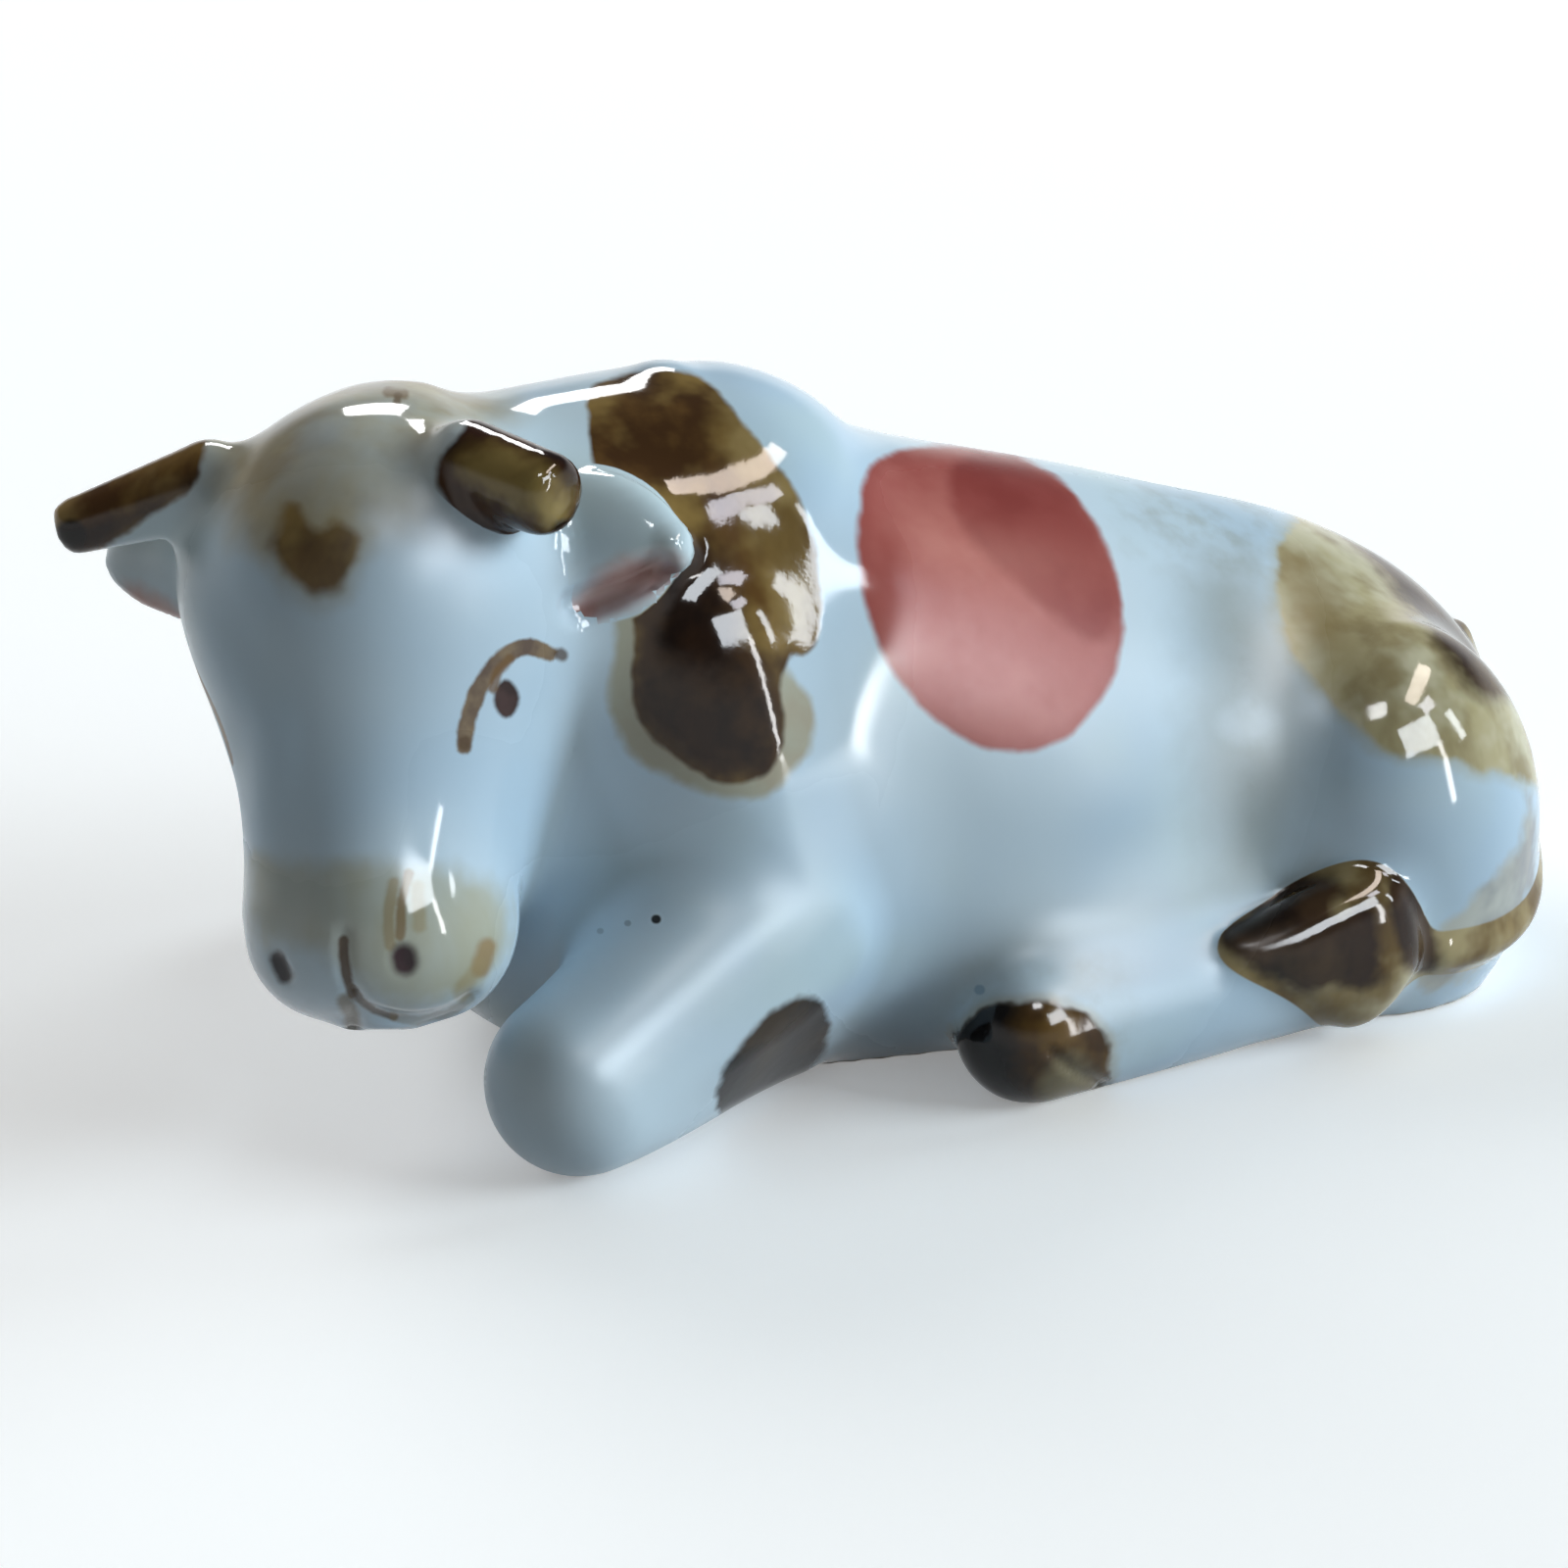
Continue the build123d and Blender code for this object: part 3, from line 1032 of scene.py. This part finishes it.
flanks = {
    "pink": stroke(colour(162, 82, 75), colour(168, 89, 82), colour(172, 96, 88), (0, 30, 0)),
    "rim": (0.35, colour(132, 50, 46)),
    "rimWidth": (-1.2 * mm, 0),
    "lobe": stroke(colour(132, 50, 46), colour(137, 55, 50), colour(143, 62, 57), (0, 30, 0)),
    "farHalo": (0.5, brown["halo"]),
    "far": stroke(brown["umber"], brown["brown"], brown["olive"], (0, 20, 0)),
}
flankMarks = {
    "pink": {
        "soft": 0.3 * mm,
        "wobble": 0.12 * mm,
        "line": [
            (876, 540), (882, 490), (900, 468), (930, 458), (980, 455), (1040, 467), (1085, 493),
            (1115, 530), (1138, 585), (1146, 640), (1136, 690), (1105, 738), (1060, 765), (1010, 764),
            (960, 738), (920, 698), (892, 645), (879, 590),
        ],
    },
    "pinkLobe": {
        "soft": 0.6 * mm,
        "wobble": 0.2 * mm,
        "line": [
            (975, 470), (1030, 466), (1080, 492), (1115, 535), (1138, 590), (1140, 640), (1115, 655),
            (1080, 630), (1040, 600), (1000, 560), (972, 515),
        ],
    },
    "farFlank": {
        "soft": 0.4 * mm,
        "halo": (0.6 * mm, 0.6 * mm),
        "views": ("farBody",),
        "line": [
            (1010, 560), (1070, 520), (1150, 530), (1205, 590), (1215, 670), (1180, 740), (1110, 760),
            (1045, 725), (1005, 650),
        ],
    },
}


def paintPink(paint):
    pink = paint.inside("pink")
    paint.brush(pink, flanks["pink"])
    paint.wash(pink * paint.mark("pink").ease(*flanks["rimWidth"]), flanks["rim"])
    paint.brush(pink * paint.inside("pinkLobe"), flanks["lobe"])


def paintFarFlank(paint):
    paint.wash(paint.halo("farFlank"), flanks["farHalo"])
    paint.brush(paint.inside("farFlank"), flanks["far"])


hooves = {
    "halo": (0.5, brown["tan"]),
    "hind": stroke(colour(48, 30, 16), colour(74, 50, 24), colour(112, 84, 42)),
    "pale": (0.8, colour(136, 126, 98)),
    "dark": colour(22, 21, 22),
    "fore": stroke(colour(22, 22, 25), colour(34, 32, 33), colour(64, 52, 40), balance=-0.05),
    "gloss": 0.7,
}
hoofMarks = {
    "hindHoof": {
        "soft": 0.25 * mm,
        "halo": (0.5 * mm, 0.4 * mm),
        "views": ("near", "farBody"),
        "line": [
            (971, 1080), (979, 1048), (1010, 1029), (1052, 1024), (1095, 1030), (1124, 1052),
            (1134, 1085), (1120, 1116), (1080, 1134), (1030, 1138), (988, 1124),
        ],
    },
    "hoofDark": {
        "soft": 0.9 * mm,
        "wobble": 0.4 * mm,
        "views": ("near", "farBody"),
        "line": [
            (960, 1080), (972, 1040), (1005, 1015), (1040, 1012), (1034, 1050), (1040, 1100),
            (1050, 1150), (990, 1150),
        ],
    },
    "hoofPale": {
        "soft": 0.8 * mm,
        "wobble": 0.4 * mm,
        "views": ("near", "farBody"),
        "line": [(1058, 1112), (1078, 1082), (1100, 1078), (1118, 1092), (1108, 1118), (1080, 1130)],
    },
    "foreHoof": {
        "soft": 0.3 * mm,
        "views": ("near", "farBody"),
        "line": [
            (732, 1121), (738, 1094), (760, 1060), (790, 1031), (815, 1018), (838, 1024), (846, 1047),
            (840, 1075), (815, 1105), (790, 1140), (750, 1160),
        ],
    },
}


def paintHooves(paint):
    hind = paint.inside("hindHoof")
    paint.wash(paint.halo("hindHoof"), hooves["halo"])
    paint.brush(hind, hooves["hind"])
    paint.wash(hind * paint.inside("hoofPale"), hooves["pale"])
    paint.lay(hind * paint.inside("hoofDark"), hooves["dark"])
    fore = paint.inside("foreHoof")
    paint.brush(fore, hooves["fore"])
    both = hind.most(fore)
    paint.roughness = paint.roughness * (1 - both * hooves["gloss"])
    paint.roughen(both)


dotSoftness = 0.3
legDots = {
    "pinholeRing": ([(669, 938), (670, 938)], 8, colour(208, 226, 238), 0.6),
    "pinhole": ([(669, 938), (670, 938)], 4.5, colour(20, 22, 26), 1.0),
    "scratch": ([(999, 1010), (1000, 1010)], 5, colour(110, 140, 168), 0.6),
    "grime": ([(640, 942), (641, 942)], 3, colour(96, 110, 122), 0.5),
    "grimeLow": ([(612, 950), (613, 950)], 3, colour(96, 110, 122), 0.4),
}

tailTurn = (0, 50, 0)
tail = {
    "edge": (0.22 * mm, 0.06 * mm),
    "strand": stroke(colour(118, 84, 40), colour(164, 134, 84), colour(196, 182, 146), tailTurn, 0.55),
    "body": stroke(colour(108, 84, 44), colour(150, 128, 82), colour(178, 162, 120), tailTurn),
    "foot": stroke(colour(122, 98, 54), colour(160, 144, 102), colour(190, 180, 148), (0, 60, 0), 0.75),
    "crown": stroke(colour(78, 60, 38), colour(110, 92, 60), colour(136, 120, 86), tailTurn, 0.6),
    "crownHeight": (7 * mm, 10 * mm),
    "dark": stroke(colour(24, 12, 10), colour(44, 26, 20), colour(64, 42, 26), (0, 60, 0), 0.95),
}
tailMarks = {
    "tuftDark": {
        "soft": 0.6 * mm,
        "wobble": 0.4 * mm,
        "line": [
            (1245, 953), (1300, 908), (1345, 890), (1372, 905), (1362, 930), (1400, 925), (1411, 965),
            (1405, 1002), (1370, 1008), (1325, 1012), (1280, 990),
        ],
    },
    "tuftStreak": {
        "soft": 0.4 * mm,
        "line": [
            (1424, 880), (1446, 905), (1466, 950), (1462, 990), (1436, 988), (1424, 950), (1416, 912),
        ],
    },
    "tuftFoot": {
        "soft": 0.8 * mm,
        "wobble": 0.4 * mm,
        "line": [
            (1270, 1006), (1330, 1018), (1400, 1012), (1470, 985), (1480, 1070), (1380, 1090),
            (1290, 1050),
        ],
    },
    "strandWash": {
        "soft": 0.5 * mm,
        "wobble": 0.4 * mm,
        "line": [
            (1562, 812), (1552, 850), (1528, 892), (1494, 928), (1456, 962), (1444, 1002),
            (1478, 1006), (1524, 968), (1566, 900),
        ],
    },
}


def paintTail(paint):
    # The tail is brown to its edge, and the haunch beside it takes the same edge
    whole = paint.mark("tail").ease(*tail["edge"])
    paint.brush(paint.inside("strandWash"), tail["strand"])
    paint.brush(whole, tail["body"])
    paint.brush(whole * paint.inside("tuftFoot"), tail["foot"])
    paint.brush(whole * paint.height().ease(*tail["crownHeight"]), tail["crown"])
    dark = whole * paint.inside("tuftDark").most(paint.inside("tuftStreak"))
    paint.brush(dark, tail["dark"])
    paint.roughen(dark)


horns = {
    "edge": (0.2 * mm, 0.08 * mm),  # the brush runs a little past their roots
    "left": stroke(colour(26, 11, 9), colour(50, 26, 16), colour(74, 46, 22)),
    "leftHeart": stroke(colour(80, 58, 24), colour(116, 94, 46), colour(146, 126, 74), (0, 25, -35)),
    "right": stroke(colour(84, 56, 28), colour(124, 96, 50), colour(150, 126, 80), (0, -30, 20)),
    "rightRim": stroke(colour(36, 18, 10), colour(62, 38, 20), colour(96, 70, 38), (0, -30, 20), 0.85),
}
hornMarks = {
    "leftHorn": {
        "soft": 0.25 * mm,
        "wobble": 0.2 * mm,
        "wrap": True,
        "line": [
            (446, 480), (456, 458), (474, 440), (500, 400), (660, 400), (660, 640), (590, 640),
            (566, 575), (521, 549), (474, 534), (452, 505),
        ],
    },
    "leftHornHeart": {
        "soft": 0.7 * mm,
        "wobble": 0.4 * mm,
        "wrap": True,
        "line": [(462, 470), (500, 452), (560, 480), (585, 505), (572, 535), (530, 520), (480, 495)],
    },
    "rightHorn": {
        "soft": 0.25 * mm,
        "wobble": 0.2 * mm,
        "wrap": True,
        "line": [
            (208, 400), (211, 440), (208, 472), (196, 499), (150, 530), (104, 560), (80, 580),
            (40, 620), (0, 540), (60, 440), (140, 390),
        ],
    },
    "rightHornRim": {
        "soft": 0.5 * mm,
        "wobble": 0.3 * mm,
        "line": [
            (212, 470), (196, 505), (150, 530), (104, 556), (70, 574), (58, 548), (90, 536),
            (150, 510), (190, 486),
        ],
    },
}
hornDots = {
    "rightEnd": ([(72, 545), (73, 545)], 15, colour(16, 9, 8), 0.95),
    "leftEnd": ([(577, 545), (578, 545)], 15, colour(14, 8, 7), 0.9),
}


def paintHorns(paint):
    horn = paint.mark("horn").ease(*horns["edge"])
    left = horn * paint.inside("leftHorn")
    right = horn * paint.inside("rightHorn")
    paint.roughness = paint.roughness.least(1 - horn * (1 - glaze["roughness"]))
    paint.brush(left, horns["left"])
    paint.brush(left * paint.inside("leftHornHeart"), horns["leftHeart"])
    paint.brush(right, horns["right"])
    paint.brush(right * paint.inside("rightHornRim"), horns["rightRim"])
    paint.draw(hornDots, dotSoftness, within=horn)


browTurn = (0, 30, 50)
headPaint = {
    "washNoise": (160, 4, (1, 1, 0.3), browTurn),
    "washEase": (0.3, 0.7),
    "poll": mottle(blots(300, 3, 0.35, 0.65), colour(150, 130, 82), colour(172, 156, 112)),
    "pollRange": (0.5, 0.85),
    "muzzle": colour(166, 158, 116),
    "muzzleRange": (0.45, 0.8),
    "spotHalo": (0.5, colour(160, 144, 100)),
    "spot": stroke(colour(82, 58, 24), colour(106, 80, 36), colour(140, 116, 64), browTurn, 0.95),
    "brow": mottle(blots(500, 3, 0.35, 0.65), colour(84, 58, 34), colour(126, 102, 70)),
    "browStrength": 0.95,
    "browWidth": (0.6 * mm, 0.36 * mm),
    "browRag": 0.4 * mm,
    "browRagScale": 700,
    "eye": mottle(blots(700, 2, 0.3, 0.7), colour(44, 28, 26), colour(66, 46, 44)),
    "ragScale": 900,
    "ragDetail": 3,
    "rag": 5,  # in pixels
    "lineSoftness": 0.5,
}
faceMarks = {
    "poll": {
        "soft": 2.2 * mm,
        "wobble": 0.8 * mm,
        "wobbleScale": 250,
        "wrap": True,
        "line": [
            (196, 440), (245, 405), (320, 360), (430, 350), (500, 380), (520, 420), (470, 450),
            (440, 490), (410, 535), (352, 560), (290, 560), (240, 540), (212, 490),
        ],
    },
    "spot": {
        "soft": 0.45 * mm,
        "halo": (1.1 * mm, 0.5 * mm),
        "line": [
            (293, 515), (285, 533), (277, 555), (287, 577), (304, 598), (327, 606), (347, 600),
            (361, 575), (366, 553), (358, 538), (343, 532), (330, 541), (317, 538), (305, 519),
        ],
    },
    "muzzle": {
        "soft": mm,
        "wobble": 0.35 * mm,
        "line": [
            (255, 876), (300, 876), (360, 880), (425, 882), (470, 890), (508, 908), (522, 945),
            (512, 985), (484, 1012), (430, 1026), (385, 1018), (352, 992), (328, 968), (290, 962),
            (262, 955),
        ],
    },
    "brow": {
        "closed": False,
        "views": ("near", "farHead"),
        "line": [(562, 667), (535, 660), (508, 676), (489, 704), (477, 735), (473, 762)],
    },
    "eye": {
        "soft": 0.16 * mm,
        "wobble": 0.04 * mm,
        "views": ("near", "farHead"),
        "line": [(517, 693), (528, 704), (530, 718), (522, 731), (512, 731), (504, 718), (506, 702)],
    },
}
faceLines = {
    "philtrum": ([(351, 960), (351, 976), (354, 997), (359, 1015)], 5, colour(92, 68, 42), 0.9),
    "philtrumFoot": ([(352, 1022), (358, 1034), (360, 1048)], 8, colour(122, 104, 72), 0.75),
    "mouth": ([(360, 1008), (368, 1020), (382, 1031), (402, 1038)], 4, colour(84, 66, 44), 0.85),
    "lip": ([(402, 1038), (427, 1041), (458, 1034), (480, 1019)], 5, colour(128, 112, 78), 0.5),
    "streak": ([(417, 892), (410, 920), (408, 955)], 5, colour(128, 98, 52), 0.75),
    "streakLeft": ([(402, 900), (396, 935), (398, 965)], 6, colour(150, 128, 82), 0.6),
    "streakRight": ([(426, 905), (428, 945)], 7, colour(158, 138, 92), 0.5),
    "lipDab": ([(497, 966), (490, 988)], 9, colour(146, 114, 62), 0.75),
    "lipTrail": ([(488, 985), (470, 1014)], 8, colour(160, 142, 100), 0.5),
    "pollMark": ([(396, 400), (412, 402)], 5, colour(112, 88, 52), 0.8),
    "pollMarkFoot": ([(406, 404), (405, 410)], 4, colour(96, 74, 42), 0.8),
    "rightNostril": ([(283, 978), (291, 996)], 8, colour(40, 26, 30), 0.95),
    "leftNostril": ([(411, 976), (413, 983)], 13, colour(52, 28, 34), 1.0),
    "lash": ([(520, 672), (508, 686), (503, 702)], 5, colour(112, 82, 46), 0.85),
    "browEnd": ([(572, 667), (574, 669)], 6, colour(76, 54, 34), 0.85),
    "browFoot": ([(474, 756), (474, 760)], 6, colour(84, 62, 40), 0.8),
}


def browWash(paint, span):
    least, most = span
    streaks = paint.noise(*headPaint["washNoise"])
    return streaks.ease(*headPaint["washEase"]) * (most - least) + least


def paintPoll(paint):
    # A thin brown wash lies between the horns and runs down the brow
    wash = browWash(paint, headPaint["pollRange"])
    paint.lay(paint.inside("poll") * wash, paint.mottled(headPaint["poll"]))


def paintFace(paint):
    wash = browWash(paint, headPaint["muzzleRange"])
    paint.lay(paint.inside("muzzle") * wash, headPaint["muzzle"])
    paint.wash(paint.halo("spot"), headPaint["spotHalo"])
    spot = paint.inside("spot")
    paint.brush(spot, headPaint["spot"])
    rag = (paint.noise(headPaint["browRagScale"], headPaint["ragDetail"]) - 0.5) * headPaint["browRag"]
    brow = (paint.mark("brow") + rag).ease(*headPaint["browWidth"])
    paint.lay(brow * headPaint["browStrength"], paint.mottled(headPaint["brow"]))
    paint.lay(paint.inside("eye"), paint.mottled(headPaint["eye"]))
    rag = (paint.noise(headPaint["ragScale"], headPaint["ragDetail"]) - 0.5) * headPaint["rag"]
    paint.draw(faceLines, headPaint["lineSoftness"], rag=rag)
    paint.roughen(spot)


ears = {
    "shadeBlots": blots(120, 2, 0.3, 0.7),
    "shade": (0.25, colour(186, 194, 190)),
    "pink": mottle(blots(260, 3, 0.3, 0.7), colour(172, 112, 102), colour(198, 150, 138)),
    "pinkStrength": 0.85,
    "fold": (0.6, colour(112, 62, 54)),
    "foldWidth": (0.9 * mm, 0.15 * mm),
}
earMarks = {
    "earPink": {
        "soft": 0.9 * mm,
        "wobble": 0.3 * mm,
        "views": ("near", "farHead"),
        "line": [
            (566, 634), (588, 612), (622, 578), (666, 566), (690, 572), (690, 590), (645, 612),
            (602, 634), (578, 646),
        ],
    },
    "earFold": {
        "closed": False,
        "views": ("near", "farHead"),
        "line": [(572, 636), (600, 626), (640, 610), (684, 584)],
    },
}


def paintEars(paint):
    paint.wash(paint.blots(ears["shadeBlots"]), ears["shade"])
    paint.lay(paint.inside("earPink") * ears["pinkStrength"], paint.mottled(ears["pink"]))
    paint.wash(paint.mark("earFold").ease(*ears["foldWidth"]), ears["fold"])


painted = {
    **glazeMarks,
    **saddleMarks,
    **rumpMarks,
    **flankMarks,
    **hoofMarks,
    **tailMarks,
    **hornMarks,
    **faceMarks,
    **earMarks,
}


def storeMarks(surface):
    # Each mark becomes a distance on the skin, which the paint reads
    for name, mark in painted.items():
        reading = {key: mark[key] for key in ("closed", "views", "wrap") if key in mark}
        surface.store(name, "FLOAT", "value", markDistance(surface, mark["line"], **reading))
    for name, values in surface.fields.items():
        surface.store(name, "FLOAT", "value", values)
    surface.store("skinNormal", "FLOAT_VECTOR", "vector", surface.skinNormals)


storeMarks(cow)
print("marks stored:", len(painted))


def paintLegDots(paint):
    paint.draw(legDots, dotSoftness)


# The slot that each material fills, and its layers of paint in the order in which they go on
finishes = {
    "torso": {
        "slot": "white_glaze",
        "layers": [paintPoll, paintSaddle, paintPink, paintRump, paintFarFlank, paintTail],
    },
    "head": {
        "slot": "head_glaze",
        "layers": [paintPoll, paintFace, paintHorns],
    },
    "ear": {
        "slot": "ear_glaze",
        "layers": [paintPoll, paintEars, paintHorns],
    },
    "horn": {
        "slot": "horn_glaze",
        "layers": [paintPoll, paintHorns],
    },
    "foreleg": {
        "slot": "leg_glaze",
        "layers": [paintSaddle, paintHooves, paintLegDots],
    },
    "hind_leg": {
        "slot": "leg_glaze",
        "layers": [paintRump, paintHooves, paintLegDots, paintTail],
    },
    "tail": {
        "slot": "tail_glaze",
        "layers": [paintRump, paintTail],
    },
}
glazes = {}
for kind, finish in finishes.items():
    paint = Paint(kind + "_glaze")
    for layer in [whiteGlaze] + finish["layers"]:
        layer(paint)
    glazes[kind] = paint.finish()
print("glazes painted")

for name in cow.names:
    piece = cutPiece(cow, name)
    piece.data.materials.clear()
    piece.data.materials.append(glazes[kindOf(name)])
print("pieces cut")

room = {
    "floorSize": 3,
    "floor": (0.95, 0.955, 0.96, 1),  # as the camera sees it
    "floorShade": (0.42, 0.43, 0.44, 1),  # as it lights the cow from below
    "lift": (0.24, 0.24, 0.24, 1),
    "fade": (0.14, 0.7),  # where the floor turns into plain white
    "fill": 0.11,
    "fillTone": (1.06, 1.0, 0.88, 1),
    "ceiling": 0.1,
    "backdrop": (0.45, 0.15),  # the sines of how high the ceiling starts and the white backdrop stands
}
white, black = (1, 1, 1, 1), (0, 0, 0, 1)


def cameraRays(root):
    # 1 for what the camera, a reflection or a refraction sees
    camera, glossy, clear = (root.node("ShaderNodeLightPath", {}, {}, output) for output in (0, 3, 6))
    return camera.most(glossy).most(clear)


def addFloor():
    bm = bmesh.new()
    bmesh.ops.create_grid(bm, x_segments=1, y_segments=1, size=room["floorSize"])
    mesh = bpy.data.meshes.new("floor")
    bm.to_mesh(mesh)
    bm.free()
    material = bpy.data.materials.new("floor")
    material.use_nodes = True
    shader = material.node_tree.nodes["Principled BSDF"]
    shader.inputs["Roughness"].default_value = 1
    shader.inputs["Specular IOR Level"].default_value = 0
    shader.inputs["Emission Strength"].default_value = 1
    root = Signal(material.node_tree)
    seen = cameraRays(root)
    place = root.node("ShaderNodeTexCoord", {}, {}, 3)
    far = root.node("ShaderNodeVectorMath", {"operation": "LENGTH"}, {0: place}, 1).ease(*room["fade"])
    seen.tint(room["floorShade"], far.tint(room["floor"], black)).feed(shader, "Base Color")
    seen.tint(black, far.tint(room["lift"], white)).feed(shader, "Emission Color")
    mesh.materials.append(material)
    link("floor", mesh)


addFloor()

# Azimuth and elevation in degrees, the angles that the face fills, how bright it is, and its tone
softDistance = 2.6
softLamps = {
    "key": (60, 19, 30, 26, 11, (0.88, 1, 1.07)),
    "sideKey": (104, 26, 26, 26, 5.2, (0.88, 1, 1.07)),
    "backFill": (198, 34, 40, 40, 3.4, (1, 1, 1)),
}
paneDistance = 1.2
panes = {
    "upper": (58, 57, 34, 8, 22, (1, 0.86, 0.76)),
    "middle": (42, 46, 11, 7, 22, (0.9, 0.9, 1)),
    "main": (22, 35, 24, 16, 25, (0.88, 0.94, 1)),
    "band": (54, 28, 5, 14, 24, (0.88, 0.94, 1)),
    "doorway": (35, 16, 3.5, 22, 30, (1, 1, 1)),
    "skylight": (-10, 58, 12, 9, 28, (0.95, 0.97, 1)),
    "backWindow": (165, 36, 16, 12, 16, (1, 1, 1)),
}


def addLamp(name, distance, azimuth, elevation, width, height, radiance, tone):
    data = bpy.data.lights.new(name, "AREA")
    data.shape = "RECTANGLE"
    data.size = 2 * distance * math.tan(math.radians(width / 2))
    data.size_y = 2 * distance * math.tan(math.radians(height / 2))
    data.energy = radiance * math.pi * data.size * data.size_y
    data.color = tone
    lamp = link(name, data)
    away = direction(math.radians(azimuth), math.radians(elevation))
    lamp.location = away * distance
    lamp.rotation_mode = "QUATERNION"
    lamp.rotation_quaternion = away.to_track_quat("Z", "Y")
    return lamp


# The soft lamps light the cow, and the panes only show in the glaze
for name, settings in softLamps.items():
    addLamp(name, softDistance, *settings).visible_glossy = False
for name, settings in panes.items():
    addLamp(name, paneDistance, *settings).visible_diffuse = False


def addWorld():
    # A white backdrop stands all round, under a darker ceiling
    world = bpy.data.worlds.new("room")
    world.use_nodes = True
    background = world.node_tree.nodes["Background"]
    root = Signal(world.node_tree)
    cameraRays(root).tint(room["fillTone"], white).feed(background, "Color")
    way = root.node("ShaderNodeTexCoord", {}, {}, 0)
    height = root.node("ShaderNodeSeparateXYZ", {}, {0: way}, 2)
    shown = height.ease(*room["backdrop"]) * (1 - room["ceiling"]) + room["ceiling"]
    camera = root.node("ShaderNodeLightPath", {}, {}, 0)
    strength = (cameraRays(root) * (shown - room["fill"]) + room["fill"]).most(camera)
    strength.feed(background, "Strength")
    bpy.context.scene.world = world


addWorld()
bpy.context.scene.view_settings.view_transform = "Standard"
print("room lit")
